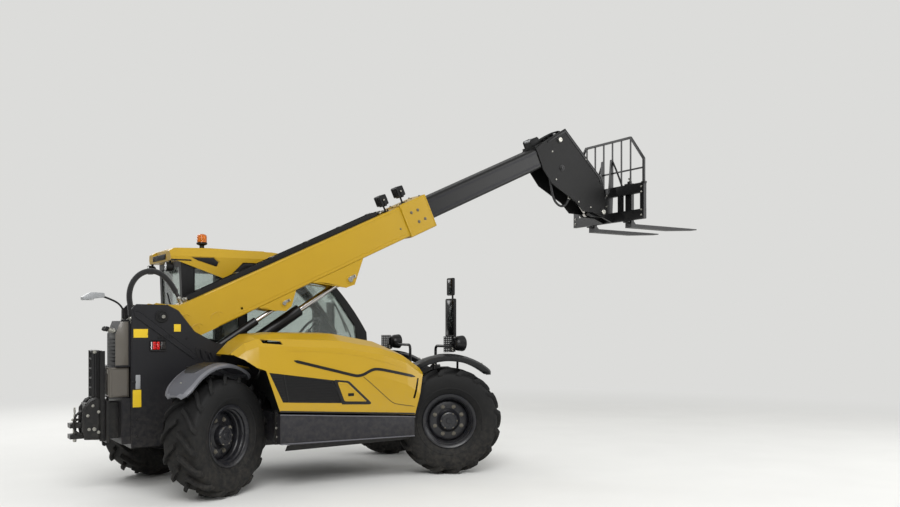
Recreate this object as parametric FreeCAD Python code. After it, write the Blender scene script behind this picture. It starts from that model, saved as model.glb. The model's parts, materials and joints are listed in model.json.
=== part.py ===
import FreeCAD, Part
import math
import os

# Telehandler: a compact four-wheel-steer machine with a two-section boom beside its cab.
# Millimetres. While the pieces are drawn, X runs forward from the rear axle, Y to the left
# from the centreline and Z up from the ground. The finished set is moved to its box centre.

V = FreeCAD.Vector

# Running gear
WHEELBASE = 2400.0
KINGPIN_Y = 560.0
WHEEL_OFFSET = 170.0
AXLE_Z = 500.0
TYRE_R = 500.0
TYRE_HALF_W = 170.0
CARCASS_R = 456.0
CARCASS_FLATS = 28
LUGS_A_SIDE = 16
LUG_W = 44.0
LUG_REACH = 74.0
LUG_INNER_Y = 12.0
LUG_OUTER_Y = 150.0
RIM_R = 229.0
FLANGE_R = 257.0
RIM_HALF_W = 140.0
STUD_PCD = 275.0
STUD_COUNT = 8
STEER_FRONT = -25.0
STEER_REAR = 33.0
STEER_ARM = 200.0
STEER_ARM_DROP = 70.0
TIE_ROD_R = 16.0
TIE_PIN_R = 10.0
STAY_X = 120.0
STAY_RISE = 84.0
DIFF_R = 115.0
DIFF_HALF = 120.0
BEAM_HALF = 65.0

# Chassis
FRAME_HALF_W = 255.0
FRAME_WALL = 14.0
FRAME_REAR_X = -484.0
FRAME_FRONT_X = WHEELBASE + 360.0
BELLY_Z = 324.0
SILL_Y = 880.0
SKIRT_TOP_REAR = 657.0
SKIRT_TOP_FRONT = 570.0
SKIRT_BOTTOM = 395.0
BAY_REAR_X = 574.0
BAY_FRONT_X = WHEELBASE - 528.0
FRAME_TOP_MID = 880.0
FRAME_TOP_REAR = 1010.0
FRAME_TOP_FRONT = 985.0
SADDLE_RISE = 120.0
ENGINE_Z = 700.0

# Tow hitch
HITCH_X = -885.0
HITCH_Y = -37.5
HITCH_BORE_R = 15.5

# Boom
PIVOT_X = -240.0
PIVOT_Z = 1479.0
BOOM_PITCH = 24.93
BOOM_Y = -77.5
BOOM_W = 280.0
BOOM_WALL = 8.0
BOOM_TOP = 16.0
BOOM_BOTTOM = -295.0
BOOM_FRONT = 2560.0
COLLAR_FRONT = 2880.0
EXT_W = 228.0
EXT_TOP = -14.0
EXT_BOTTOM = -236.0
EXTEND = 750.0
RETRACT = 1300.0
HELD_WHEN_OUT = 555.0
EXT_REAR = COLLAR_FRONT - HELD_WHEN_OUT - EXTEND
EXT_FRONT = 4600.0
EXT_WALL = 8.0
SEAT = 0.3
PAD_GAP = 0.3
PIVOT_PIN_R = 30.0
PIN_R = 24.0
PIN_GAP = 0.5

# Tower
TOWER_OUT_R = -270.0
TOWER_PLATE = 40.0
TOWER_GAP = 12.0
TOWER_TOP = 1580.0

# Cylinders, as pins in machine coordinates and their radii
LIFT_BASE = (50.0, 860.0)
LIFT_EYE_UV = (1766.0, -424.0)
LIFT_Y = -30.0
LIFT_BARREL_R = 56.0
LIFT_ROD_R = 30.0
COMP_BASE = (100.0, 1100.0)
COMP_EYE_UV = (1060.0, -357.0)
COMP_Y = -160.0
COMP_BARREL_R = 38.0
COMP_ROD_R = 20.0
LIFT_PIN_R = 25.0
COMP_PIN_R = 18.0
TILT_PIN_R = 19.0

# Boom head and carriage
HEAD_PLATE = 12.0
TILT_PIN = (4760.0, 2705.0)
TILT_BASE_UV = (4690.0, -330.0)
TILT_BARREL_R = 36.0
TILT_ROD_R = 19.0
TILT_LEVER = (-150.0, -20.0)
HEAD_PIN_R = 28.0
EAR_IN = 62.0
EAR_OUT = 90.0
BASE_PIN_R = 22.0
CARRIAGE_X = 4935.0
CARRIAGE_HALF_W = 600.0
CARRIAGE_BAR = (42.0, 112.0)
CARRIAGE_LOW_Z = 2597.0
CARRIAGE_HIGH_Z = 3004.0
GUARD_RISE = 546.0
GUARD_BAR = 24.0
GUARD_BARS = 6
GUARD_FLAT = 385.0
GUARD_SLANT = 276.0
FORK_LEN = 1070.0
FORK_W = 100.0
FORK_T = 40.0
FORK_SPREAD = 313.0
FORK_BOTTOM_Z = 2520.0

# Pipe tray on the boom
TRAY_W = 124.0
TRAY_H = 46.0
TRAY_T = 4.0
TRAY_ENDS = (300.0, 2330.0)
TRAY_PIPES = 3
TRAY_PIPE_R = 13.0

# Cab
CAB_IN_Y = 130.0
CAB_OUT_Y = 880.0
CAB_POST = 45.0
CAB_REAR_X = 60.0
CAB_ROOF_Z = 1985.0
ROOF_TOP_Z = CAB_ROOF_Z + 125.0
CAB_SILL_Z = 1165.0
CAB_BEND_Z = 1330.0
CAB_FLOOR_Z = 640.0
CAB_NOSE_X = WHEELBASE - 510.0
GLASS_T = 6.0
DOOR_REAR_X = 640.0
DOOR_FRONT_X = CAB_NOSE_X - 270.0
DOOR_GAP = 6.0
DOOR_HINGE_Y = 889.0
DOOR_HINGE_ZS = (860.0, 1480.0)

# Lamp and mirror bar
LAMP_X = WHEELBASE + 70.0
LAMP_Y = 640.0
CAB_MIRROR_Y = 1000.0
REAR_LAMP_Y = -200.0
PANEL_TOP_Z = 1440.0

# Engine hood
HOOD_IN_Y = -300.0
HOOD_OUT_Y = -880.0
HOOD_WALL = 12.0
HOOD_HINGE = (-287.0, 1289.0)
HOOD_HINGE_XS = (670.0, 1100.0)
HOOD_HINGE_R = 6.0


# Basic shapes
def box(x0, x1, y0, y1, z0, z1):
    return Part.makeBox(x1 - x0, y1 - y0, z1 - z0, V(x0, y0, z0))


def rod(start, end, radius):
    a = V(*start)
    b = V(*end)
    return Part.makeCylinder(radius, (b - a).Length, a, b - a)


def plate_xz(points, y0, y1):
    face = Part.Face(Part.makePolygon([V(x, y0, z) for x, z in points + points[:1]]))
    return face.extrude(V(0, y1 - y0, 0))


def plate_yz(points, x0, x1):
    face = Part.Face(Part.makePolygon([V(x0, y, z) for y, z in points + points[:1]]))
    return face.extrude(V(x1 - x0, 0, 0))


def plate_xy(points, z0, z1):
    face = Part.Face(Part.makePolygon([V(x, y, z0) for x, y in points + points[:1]]))
    return face.extrude(V(0, 0, z1 - z0))


def wire_face(edges):
    return Part.Face(Part.Wire(edges))


def arc(a, b, c):
    return Part.Arc(V(*a), V(*b), V(*c)).toShape()


def line(a, b):
    return Part.LineSegment(V(*a), V(*b)).toShape()


def fuse(shapes):
    first = shapes[0]
    joined = first.fuse(shapes[1:]) if len(shapes) > 1 else first
    return joined.removeSplitter()


def group(shapes):
    return Part.makeCompound(shapes)


def mirror_y(shape):
    return shape.mirror(V(0, 0, 0), V(0, 1, 0))


def round_box(x0, x1, y0, y1, z0, z1, radius, axis):
    shape = box(x0, x1, y0, y1, z0, z1)
    edges = [e for e in shape.Edges if abs(e.tangentAt(e.FirstParameter).dot(axis)) > 0.99]
    return shape.makeFillet(radius, edges)


# Boom frame: u runs along the boom from its pivot pin and v square to it, upwards
def to_machine(shape, extra=0.0):
    moved = shape.copy()
    moved.rotate(V(0, 0, 0), V(0, 1, 0), -(BOOM_PITCH + extra))
    moved.translate(V(PIVOT_X, 0, PIVOT_Z))
    return moved


def uv_point(u, v):
    a = math.radians(BOOM_PITCH)
    return (PIVOT_X + u * math.cos(a) - v * math.sin(a), PIVOT_Z + u * math.sin(a) + v * math.cos(a))


def xz_to_uv(x, z):
    a = math.radians(BOOM_PITCH)
    dx = x - PIVOT_X
    dz = z - PIVOT_Z
    return (dx * math.cos(a) + dz * math.sin(a), -dx * math.sin(a) + dz * math.cos(a))


# Room that a steered wheel and its fender sweep round the kingpin: columns height, radius
SWEEP = [(0.0, 622.0), (560.0, 622.0), (750.0, 572.0), (850.0, 516.0), (940.0, 482.0),
         (1060.0, 482.0), (1120.0, 400.0), (1158.0, 300.0), (1158.0, 0.0)]


def sweep_room(axle_x, side):
    points = [V(0, 0, 0)] + [V(r, 0, z) for z, r in SWEEP]
    face = Part.Face(Part.makePolygon(points + points[:1]))
    room = face.revolve(V(0, 0, 0), V(0, 0, 1), 360)
    room.translate(V(axle_x, side * KINGPIN_Y, 0))
    return room


def clear_wheels(shape, side):
    return shape.cut([sweep_room(0, side), sweep_room(WHEELBASE, side)])


# Wheels, drawn for the right side round the kingpin, with outboard towards -Y
def revolve_y(profile):
    points = [V(r, y, 0) for r, y in profile]
    face = Part.Face(Part.makePolygon(points + points[:1]))
    return face.revolve(V(0, 0, 0), V(0, 1, 0), 360)


def flat_ring(profile, count):
    """A ring of flat sides: profile rows are the radius to the middle of a side, then Y."""
    grow = 1 / math.cos(math.pi / count)
    faces = []
    for (r0, y0), (r1, y1) in zip(profile, profile[1:] + profile[:1]):
        for i in range(count):
            a = 2 * math.pi * i / count
            b = 2 * math.pi * (i + 1) / count
            corners = [V(-r * grow * math.cos(t), y, r * grow * math.sin(t))
                       for r, y, t in ((r0, y0, a), (r0, y0, b), (r1, y1, b), (r1, y1, a))]
            faces.append(Part.Face(Part.makePolygon(corners + corners[:1])))
    solid = Part.Solid(Part.Shell(faces))
    if solid.Volume < 0:
        solid.reverse()
    return solid


def lug(side, turn):
    """One slanted tread bar; it leads at the tread's middle as the wheel rolls forward."""
    out = V(-math.cos(turn), 0, math.sin(turn))
    ahead = V(math.sin(turn), 0, math.cos(turn))
    rings = []
    for half, height in ((LUG_W * 0.62, CARCASS_R - 26),
                         (LUG_W * 0.42, math.sqrt(TYRE_R ** 2 - (LUG_REACH + LUG_W * 0.42) ** 2))):
        rows = [(LUG_REACH + half, LUG_INNER_Y), (LUG_REACH - half, LUG_INNER_Y),
                (-LUG_REACH - half, LUG_OUTER_Y), (-LUG_REACH + half, LUG_OUTER_Y)]
        corners = [out * height + ahead * s + V(0, side * y, 0) for s, y in rows]
        rings.append(Part.makePolygon(corners + corners[:1]))
    return Part.makeLoft(rings, True, True)


def tyre():
    w = TYRE_HALF_W
    bead = RIM_HALF_W - 16 - SEAT
    half = [(RIM_R + SEAT, bead), (300, bead + 14), (385, w), (CARCASS_R, w - 17)]
    carcass = flat_ring([(r, -y) for r, y in half] + list(reversed(half)), CARCASS_FLATS)
    pitch = 2 * math.pi / LUGS_A_SIDE
    lugs = []
    for i in range(LUGS_A_SIDE):
        lugs += [lug(-1, i * pitch), lug(1, (i + 0.5) * pitch)]
    shape = fuse([carcass] + lugs)
    shape.translate(V(0, -WHEEL_OFFSET, AXLE_Z))
    return shape


def rim():
    w = RIM_HALF_W
    lip = [(RIM_R, w - 16), (FLANGE_R, w - 10), (FLANGE_R, w), (222, w), (206, w - 30)]
    shell = revolve_y(lip + [(r, -y) for r, y in reversed(lip)])
    disc = revolve_y([(207, 0), (207, -16), (165, -30), (70, -30), (70, -14), (160, -14)])
    hub = revolve_y([(0, -14), (104, -14), (104, -38), (84, -48), (84, -92), (60, -104), (0, -104)])
    studs = []
    for i in range(STUD_COUNT):
        a = 2 * math.pi * (i + 0.5) / STUD_COUNT
        c = (STUD_PCD / 2 * math.cos(a), STUD_PCD / 2 * math.sin(a))
        studs.append(rod((c[0], -29, c[1]), (c[0], -54, c[1]), 13))
    shape = fuse([shell, disc, hub] + studs)
    shape.translate(V(0, -WHEEL_OFFSET, AXLE_Z))
    return shape


def knuckle(arm_dir):
    z = AXLE_Z
    trunnion = rod((0, 0, z - 112), (0, 0, z + 112), 58)
    pins = [rod((0, 0, z - 148), (0, 0, z - 112), PIN_R), rod((0, 0, z + 112), (0, 0, z + 148), PIN_R)]
    spindle = rod((0, -40, z), (0, -WHEEL_OFFSET - 14 + SEAT, z), 66)
    flange = rod((0, -44, z), (0, -70, z), 104)
    low = z - STEER_ARM_DROP
    arm_x = arm_dir * STEER_ARM
    arm = plate_xy([(0, -22), (arm_x, -20), (arm_x, 20), (0, 22)], low - 12, low + 10)
    eye = rod((arm_x, 0, low - 12), (arm_x, 0, low + 10), 22)
    pin = rod((arm_x, 0, low + 9), (arm_x, 0, low + 42), TIE_PIN_R)
    wing = box(-STAY_X - 14, STAY_X + 14, 14, 40, z + 62, z + STAY_RISE - SEAT)
    return fuse([trunnion, spindle, flange, arm, eye, pin, wing] + pins)


# Fenders: columns radius, angle at the front lip, angle at the rear lip, in the wheel's plane
FENDERS = {"front": (622.0, 50.0, 124.0), "rear": (592.0, 52.0, 143.0)}
FENDER_T = 8.0
FENDER_IN = -20.0
FENDER_OUT = -272.0
STAY_T = 12.0


def ring_sector(r0, r1, a0, a1, y0, y1):
    def at(r, a):
        return (r * math.cos(math.radians(a)), y0, AXLE_Z + r * math.sin(math.radians(a)))
    mid = (a0 + a1) / 2
    edges = [arc(at(r0, a0), at(r0, mid), at(r0, a1)), line(at(r0, a1), at(r1, a1)),
             arc(at(r1, a1), at(r1, mid), at(r1, a0)), line(at(r1, a0), at(r0, a0))]
    return wire_face(edges).extrude(V(0, y1 - y0, 0))


def fender(axle):
    radius, front, rear = FENDERS[axle]
    parts = [ring_sector(radius, radius + FENDER_T, front, rear, FENDER_OUT, FENDER_IN)]
    for y in (FENDER_OUT, FENDER_IN - STAY_T):
        parts.append(ring_sector(radius - 18, radius + 1, front, rear, y, y + STAY_T))
    pocket = ring_sector(radius + FENDER_T - 3, radius + FENDER_T + 1, front + 22, rear - 24,
                         FENDER_OUT + 70, FENDER_IN - 36)
    parts[0] = parts[0].cut(pocket)
    reach = rod((0, FENDER_OUT, AXLE_Z), (0, 60, AXLE_Z), radius + FENDER_T / 2)
    foot = AXLE_Z + STAY_RISE
    top = AXLE_Z + radius
    for x in (-STAY_X, STAY_X):
        stay = plate_yz([(40, foot), (16, foot), (16, top - 60), (FENDER_IN - 100, top - 60),
                         (FENDER_IN - 100, top + 20),
                         (40, top + 20)], x - STAY_T, x + STAY_T)
        hollow = rod((0, FENDER_OUT, AXLE_Z), (0, 14, AXLE_Z), radius - 12)
        parts.append(stay.common(reach).cut(hollow))
    return fuse(parts)


def place_corner(shape, axle_x, side, steer):
    moved = mirror_y(shape) if side > 0 else shape.copy()
    moved.rotate(V(0, 0, 0), V(0, 0, 1), steer)
    moved.translate(V(axle_x, side * KINGPIN_Y, 0))
    return moved


def tie_rod(axle_x, arm_dir, steer):
    a = math.radians(steer)
    px = axle_x + arm_dir * STEER_ARM * math.cos(a)
    dy = arm_dir * STEER_ARM * math.sin(a)
    z = AXLE_Z - STEER_ARM_DROP + 28
    ends = (dy - KINGPIN_Y, dy + KINGPIN_Y)
    bar = rod((px, ends[0], z), (px, ends[1], z), TIE_ROD_R)
    eyes = [rod((px, y, z - TIE_ROD_R + 1), (px, y, z + TIE_ROD_R - 1), 24) for y in ends]
    bores = [rod((px, y, z - 40), (px, y, z + 40), TIE_PIN_R + PIN_GAP) for y in ends]
    return fuse([bar] + eyes).cut(bores)


def axle(axle_x):
    z = AXLE_Z
    parts = [box(axle_x - BEAM_HALF, axle_x + BEAM_HALF, -420, 420, z - 60, z + 60)]
    diff = rod((axle_x - DIFF_HALF, 0, z), (axle_x + DIFF_HALF, 0, z), DIFF_R)
    parts.append(diff.makeChamfer(36, diff.Edges))
    for side in (-1, 1):
        parts.append(box(axle_x - 52, axle_x + 52, *sorted((side * 400, side * 470)), z - 150, z + 150))
        for low, high in ((z - 150, z - 115), (z + 115, z + 150)):
            parts.append(box(axle_x - 45, axle_x + 45, *sorted((side * 400, side * KINGPIN_Y)), low, high))
            parts.append(rod((axle_x, side * KINGPIN_Y, low), (axle_x, side * KINGPIN_Y, high), 45))
        ys = sorted((side * 140, side * 235))
        parts.append(box(axle_x - 60, axle_x + 60, *ys, z + 59, z + SADDLE_RISE - SEAT))
    shape = fuse(parts)
    bores = [rod((axle_x, s * KINGPIN_Y, z - 160), (axle_x, s * KINGPIN_Y, z + 160), PIN_R + PIN_GAP)
             for s in (-1, 1)]
    return shape.cut(bores)


# Chassis
def frame():
    over = AXLE_Z + SADDLE_RISE
    far = WHEELBASE
    side = [(FRAME_REAR_X, 380), (-250, 380), (-215, over), (330, over), (640, BELLY_Z), (far - 640, BELLY_Z),
            (far - 330, over), (FRAME_FRONT_X - 60, over), (FRAME_FRONT_X, 720), (FRAME_FRONT_X, 940),
            (far + 220, FRAME_TOP_FRONT), (far - 440, FRAME_TOP_FRONT), (far - 600, FRAME_TOP_MID),
            (610, FRAME_TOP_MID), (300, FRAME_TOP_REAR), (FRAME_REAR_X, FRAME_TOP_REAR)]
    outer = plate_xz(side, -FRAME_HALF_W, FRAME_HALF_W)
    inner = box(FRAME_REAR_X + FRAME_WALL, FRAME_FRONT_X - FRAME_WALL, -FRAME_HALF_W + FRAME_WALL,
                FRAME_HALF_W - FRAME_WALL, 200, 1200)
    inside = FRAME_HALF_W - FRAME_WALL + 1
    cross = [box(x, x + long, -inside, inside, z0, z1)
             for x, long, z0, z1 in ((-120, 20, over, over + 60), (-100, 200, over, over + 16),
                                     (660, far - 1320, BELLY_Z, BELLY_Z + 10), (700, 20, BELLY_Z, 640),
                                     (far - 720, 20, BELLY_Z, 640), (far - 100, 200, over, over + 16),
                                     (far + 100, 20, over, over + 60))]
    outriggers = [box(x, x + 70, -740, 1 - FRAME_HALF_W, 662, ENGINE_Z - SEAT) for x in (770, 1240)]
    z = FRAME_TOP_FRONT
    lamp_pads = [box(LAMP_X - 40, LAMP_X + 40, *sorted((s * 215, s * 285)), z - 1, z + 10)
                 for s in (-1, 1)]
    return fuse([outer.cut(inner)] + cross + outriggers + hood_posts() + lamp_pads)


def hood_posts():
    y, z = HOOD_HINGE
    foot = 1 - FRAME_HALF_W
    outline = [(foot, 700), (-298, 760), (-298, 1200), (y - 10, z - 4), (y - 4, z + 11),
               (y + 8, z + 11), (foot, z - 27)]
    posts = []
    for x in HOOD_HINGE_XS:
        posts.append(plate_yz(outline, x, x + 14))
        posts.append(rod((x + 1, y, z), (x + 40, y, z), HOOD_HINGE_R))
    return posts


def tower_outline():
    return [(FRAME_REAR_X, 390), (FRAME_REAR_X, TOWER_TOP - 40), (FRAME_REAR_X + 40, TOWER_TOP),
            (-190, TOWER_TOP - 4), (-100, 1530), (40, 1350), (220, 1250), (560, 1195), (560, 1010),
            (300, 1010), (200, AXLE_Z + 160), (-210, AXLE_Z + 160), (-245, 390)]


# Air slots in the tower's right plate: columns top X, top Z, foot X, foot Z
TOWER_SLOTS = [(77.0, 1196.0, 94.0, 1105.0), (124.0, 1182.0, 159.0, 1100.0), (164.0, 1168.0, 198.0, 1099.0)]
SLOT_W = 20.0


def tower():
    skin = -FRAME_HALF_W - SEAT
    right = plate_xz(tower_outline(), TOWER_OUT_R, skin)
    for x0, z0, x1, z1 in TOWER_SLOTS:
        slot = [(x0, z0), (x0 + SLOT_W, z0 - 8), (x1 + SLOT_W, z1), (x1, z1)]
        right = right.cut(plate_xz(slot, TOWER_OUT_R - 1, skin + 1))
    rear = FRAME_REAR_X
    band = plate_xz([(rear + 14, 1530), (rear + 70, 1516), (60, 1150), (36, 1112), (rear + 30, 1470)],
                    TOWER_OUT_R - 6, TOWER_OUT_R + 1)
    boss = rod((PIVOT_X, TOWER_OUT_R - 10, PIVOT_Z), (PIVOT_X, TOWER_OUT_R + 1, PIVOT_Z), 44)
    right = fuse([right, band, boss])
    right_in = TOWER_OUT_R + TOWER_PLATE
    cheek = plate_xz([(-400, 1040), (-400, 1560), (-190, 1560), (-60, 1400), (260, 1180), (260, 1040)],
                     skin, right_in)
    left_in = BOOM_Y + BOOM_W / 2 + TOWER_GAP
    foot = FRAME_TOP_REAR + SEAT
    left = plate_xz([(FRAME_REAR_X, foot), (FRAME_REAR_X, TOWER_TOP - 40), (FRAME_REAR_X + 40, TOWER_TOP),
                     (-190, TOWER_TOP - 4), (-100, 1530), (40, 1350), (220, 1250), (290, 1200), (290, foot)],
                    left_in, left_in + TOWER_PLATE)
    back = box(FRAME_REAR_X, FRAME_REAR_X + 16, TOWER_OUT_R + 1, left_in + 1, foot, 1420)
    shelf = box(FRAME_REAR_X + 15, FRAME_REAR_X + 65, HOSE_Y - 40, HOSE_Y + 40, 1396, 1420)
    pin = rod((PIVOT_X, right_in - 1, PIVOT_Z), (PIVOT_X, left_in + 1, PIVOT_Z), PIVOT_PIN_R)
    x, z = COMP_BASE
    stub = rod((x, right_in - 1, z), (x, COMP_Y - COMP_BARREL_R - 2, z), COMP_PIN_R)
    return fuse([right, cheek, left, back, shelf, pin, stub])


def lift_pedestal():
    x, z = LIFT_BASE
    low = AXLE_Z + SADDLE_RISE + 15
    ears = []
    for y in (LIFT_Y - 82, LIFT_Y + 62):
        outline = [(x - 75, low), (x + 75, low), (x + 34, z + 20), (x, z + 40), (x - 34, z + 20)]
        ears.append(plate_xz(outline, y, y + 20))
    base = box(x - 75, x + 75, LIFT_Y - 82, LIFT_Y + 82, low, low + 35)
    pin = rod((x, LIFT_Y - 81, z), (x, LIFT_Y + 81, z), LIFT_PIN_R)
    return ears + [base, pin]


def rear_housing():
    front = FRAME_REAR_X - SEAT
    right = -230.0
    left = BOOM_Y + BOOM_W / 2 + TOWER_GAP + TOWER_PLATE
    tank = round_box(-640, front, -200, 230, 798, 1061, 22, V(0, 0, 1))
    top = PANEL_TOP_Z
    panel = plate_xz([(-600, 1060), (-600, top - 110), (-560, top), (front, top), (front, 1060)], right, left)
    lower = box(-560, front, -FRAME_HALF_W, FRAME_HALF_W, 420, 799)
    return fuse([tank, panel, lower])


def tow_hitch():
    y = HITCH_Y
    rails = [box(-700, -660, y + s * 60 - 12, y + s * 60 + 12, 440, 1190) for s in (-1, 1)]
    web = box(-661, -641, y - 130, y + 130, 430, 780)
    stand = box(-642, -560 - SEAT, y - 90, y + 90, 460, 760)
    jaw_block = box(-820, -699, y - 85, y + 85, 470, 760)
    jaws = [box(-930, -819, y - 62, y + 62, z, z + 36) for z in (470, 560)]
    pin_hole = rod((HITCH_X, y, 400), (HITCH_X, y, 640), HITCH_BORE_R)
    return fuse(rails + [web, stand, jaw_block] + jaws).cut(pin_hole)


def engine():
    z = ENGINE_Z
    block = box(760, 1330, -760, -320, z, z + 420)
    pan = box(870, 1220, -700, -380, z - 36, z + 1)
    gearbox = box(1329, 1600, -700, -380, z + 20, z + 300)
    return fuse([block, pan, gearbox])


# Engine hood: columns X, crest height, shoulder height, outboard Y at the shoulder
HOOD_TABLE = [(200.0, 1160.0, 1110.0, -800.0), (300.0, 1262.0, 1190.0, -830.0),
              (400.0, 1325.0, 1225.0, -850.0), (620.0, 1342.0, 1225.0, -862.0),
              (1150.0, 1336.0, 1205.0, -862.0), (1560.0, 1262.0, 1135.0, -858.0),
              (1800.0, 1165.0, 1060.0, -850.0), (2000.0, 1015.0, 930.0, -840.0)]
HOOD_SIDE = [(190.0, 1120.0), (452.0, 1027.0), (BAY_REAR_X, 680.0), (BAY_FRONT_X, 590.0), (1967.0, 920.0),
             (2010.0, 1030.0), (2010.0, 1400.0), (190.0, 1400.0)]


def hood_section(x, crest, shoulder, y_sh, inset):
    z_top = crest - inset
    z_sh = shoulder - inset * 0.4
    low = 560.0
    points = [(HOOD_IN_Y, low), (HOOD_IN_Y, z_top - 30), (HOOD_IN_Y - 60, z_top),
              (-640.0, z_top - 8), (y_sh + 60 + inset, z_sh + 62 - inset * 0.5), (y_sh + inset, z_sh),
              (HOOD_OUT_Y + inset, z_sh - 200), (HOOD_OUT_Y + inset, low)]
    return Part.makePolygon([V(x, y, z) for y, z in points + points[:1]])


def hood_loft(inset):
    rows = [hood_section(x, crest, sh, y, inset) for x, crest, sh, y in HOOD_TABLE]
    return Part.makeLoft(rows, True, True)


# Air slots through the hood: one over the rear shoulder, one by the front edge
HOOD_SLOTS = [[(428.0, 1288.0), (444.0, 1254.0), (612.0, 1240.0), (600.0, 1268.0)],
              [(1908.0, 918.0), (1926.0, 918.0), (1872.0, 738.0), (1850.0, 738.0)]]
GRILLE_OUTLINE = [(479.0, 1010.0), (1084.0, 925.0), (1150.0, 915.0), (1412.0, 712.0), (600.0, 757.0)]


def hood():
    outline = plate_xz(HOOD_SIDE, -1000, 0)
    outer = hood_loft(0).common(outline)
    inner = hood_loft(HOOD_WALL).common(plate_xz([(x, z) for x, z in inner_side()], -1000, 0))
    shell = outer.cut(inner)
    shell = shell.cut(plate_xz(GRILLE_OUTLINE, -1000, -820))
    shell = shell.cut(box(100, 2100, HOOD_IN_Y - 1, HOOD_IN_Y + 10, 400, 1200))
    shell = shell.cut([plate_xz(slot, -900, -780) for slot in HOOD_SLOTS])
    y, z = HOOD_HINGE
    lugs = []
    for x in HOOD_HINGE_XS:
        a = x + 14.5
        arm = plate_yz([(y, z - 9), (y, z + 10), (-345, z + 37), (-345, z + 12)], a, a + 18)
        eye = rod((a, y, z), (a + 18, y, z), HOOD_HINGE_R + 5)
        lugs.append(arm.fuse(eye))
    shell = fuse([clear_wheels(shell, -1)] + lugs)
    return shell.cut([rod((x, y, z), (x + 60, y, z), HOOD_HINGE_R + PIN_GAP) for x in HOOD_HINGE_XS])


def inner_side():
    w = HOOD_WALL
    return [(190.0 + 60, 1100.0), (452.0 + w, 1027.0 + w), (BAY_REAR_X + w, 640.0), (BAY_FRONT_X - w, 540.0),
            (1967.0 - w, 920.0), (2000.0 - w, 1030.0), (2000.0 - w, 1380.0), (190.0 + 60, 1380.0)]


def grille():
    y0 = HOOD_OUT_Y + 6
    panel = plate_xz(GRILLE_OUTLINE, y0, y0 + 8)
    ribs = []
    for i in range(9):
        z = 770.0 + i * 24
        ribs.append(box(470, 1400, y0 - 4, y0 + 1, z, z + 8))
    inside = plate_xz(GRILLE_OUTLINE, y0 - 5, y0 + 9)
    shape = fuse([panel] + [r.common(inside) for r in ribs])
    return shape


def side_tank():
    outline = [(BAY_REAR_X, SKIRT_BOTTOM + 12), (BAY_REAR_X, SKIRT_TOP_REAR), (BAY_FRONT_X, SKIRT_TOP_FRONT),
               (BAY_FRONT_X, SKIRT_BOTTOM), (700, SKIRT_BOTTOM)]
    body = plate_xz(outline, -SILL_Y, -FRAME_HALF_W - SEAT)
    return clear_wheels(body, -1)


def left_sill():
    top = CAB_FLOOR_Z - SEAT
    outline = [(BAY_REAR_X, SKIRT_BOTTOM + 12), (BAY_REAR_X, top), (BAY_FRONT_X, top),
               (BAY_FRONT_X, SKIRT_BOTTOM),
               (700, SKIRT_BOTTOM)]
    body = plate_xz(outline, FRAME_HALF_W + SEAT, SILL_Y)
    step = box(980, 1420, SILL_Y - 190, SILL_Y + 1, SKIRT_BOTTOM + 17, 560)
    return clear_wheels(body, 1).cut(step)


# Cab
def cab_face(inset, y0, y1):
    t = inset
    rear = CAB_REAR_X + t
    roof = CAB_ROOF_Z - t
    nose = CAB_NOSE_X - t
    a = (rear, y0, CAB_SILL_Z + t)
    b = (rear - 30, y0, roof)
    c = (CAB_NOSE_X - 560 - t * 0.6, y0, roof)
    mid = (CAB_NOSE_X - 235 - t, y0, 1665 - t * 0.4)
    d = (nose, y0, CAB_BEND_Z)
    e = (nose + 10, y0, CAB_SILL_Z + t)
    f = (CAB_NOSE_X - 110 - t, y0, CAB_SILL_Z - 1 + t)
    g = (CAB_NOSE_X - 110 - t, y0, CAB_FLOOR_Z + t)
    h = (BAY_REAR_X + 46 + t, y0, CAB_FLOOR_Z + t)
    i = (BAY_REAR_X + 46 + t, y0, CAB_SILL_Z + t)
    edges = [line(a, b), line(b, c), arc(c, mid, d), line(d, e), line(e, f), line(f, g), line(g, h),
             line(h, i), line(i, a)]
    return wire_face(edges).extrude(V(0, y1 - y0, 0))


def door_face(inset, y0, y1):
    t = inset
    a = (DOOR_REAR_X + t, y0, 700 + t)
    b = (DOOR_REAR_X + t, y0, CAB_ROOF_Z - 50 - t)
    c = (DOOR_FRONT_X - 300 - t, y0, CAB_ROOF_Z - 50 - t)
    mid = (DOOR_FRONT_X - 100 - t, y0, 1755 - t * 0.4)
    d = (DOOR_FRONT_X + 60 - t, y0, 1560)
    e = (DOOR_FRONT_X + 60 - t, y0, 1240)
    f = (DOOR_FRONT_X - t, y0, 1170)
    g = (DOOR_FRONT_X - t, y0, 700 + t)
    edges = [line(a, b), line(b, c), arc(c, mid, d), line(d, e), line(e, f), line(f, g), line(g, a)]
    return wire_face(edges).extrude(V(0, y1 - y0, 0))


def window_cuts(grow):
    g = grow
    rear = box(-60, CAB_REAR_X + 80, CAB_IN_Y + 70 - g, CAB_OUT_Y - 70 + g, 1260 - g, 1930 + g)
    right_rear = box(150 - g, 560 + g, CAB_IN_Y - 20, CAB_IN_Y + 70, 1260 - g, 1920 + g)
    nose = CAB_NOSE_X + g
    side = plate_xz([(640 - g, 1240 - g), (640 - g, 1920 + g), (nose - 600, 1920 + g), (nose - 370, 1720 + g),
                     (nose - 130, 1400 + g), (nose - 100, 1240 - g)], CAB_IN_Y - 20, CAB_IN_Y + 70)
    left_rear = box(150 - g, 560 + g, CAB_OUT_Y - 70, CAB_OUT_Y + 20, 1260 - g, 1920 + g)
    front = box(CAB_NOSE_X - 590, CAB_NOSE_X + 110, CAB_IN_Y + 60 - g, CAB_OUT_Y - 60 + g, 1230 - g, 1925 + g)
    return [rear, right_rear, side, left_rear, front]


def cab_step(inset):
    ys = (CAB_IN_Y - 1, FRAME_HALF_W + 5 + inset)
    return box(CAB_REAR_X - 100, CAB_NOSE_X + 100, *ys, 0, FRAME_TOP_MID + SEAT + inset)


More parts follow.
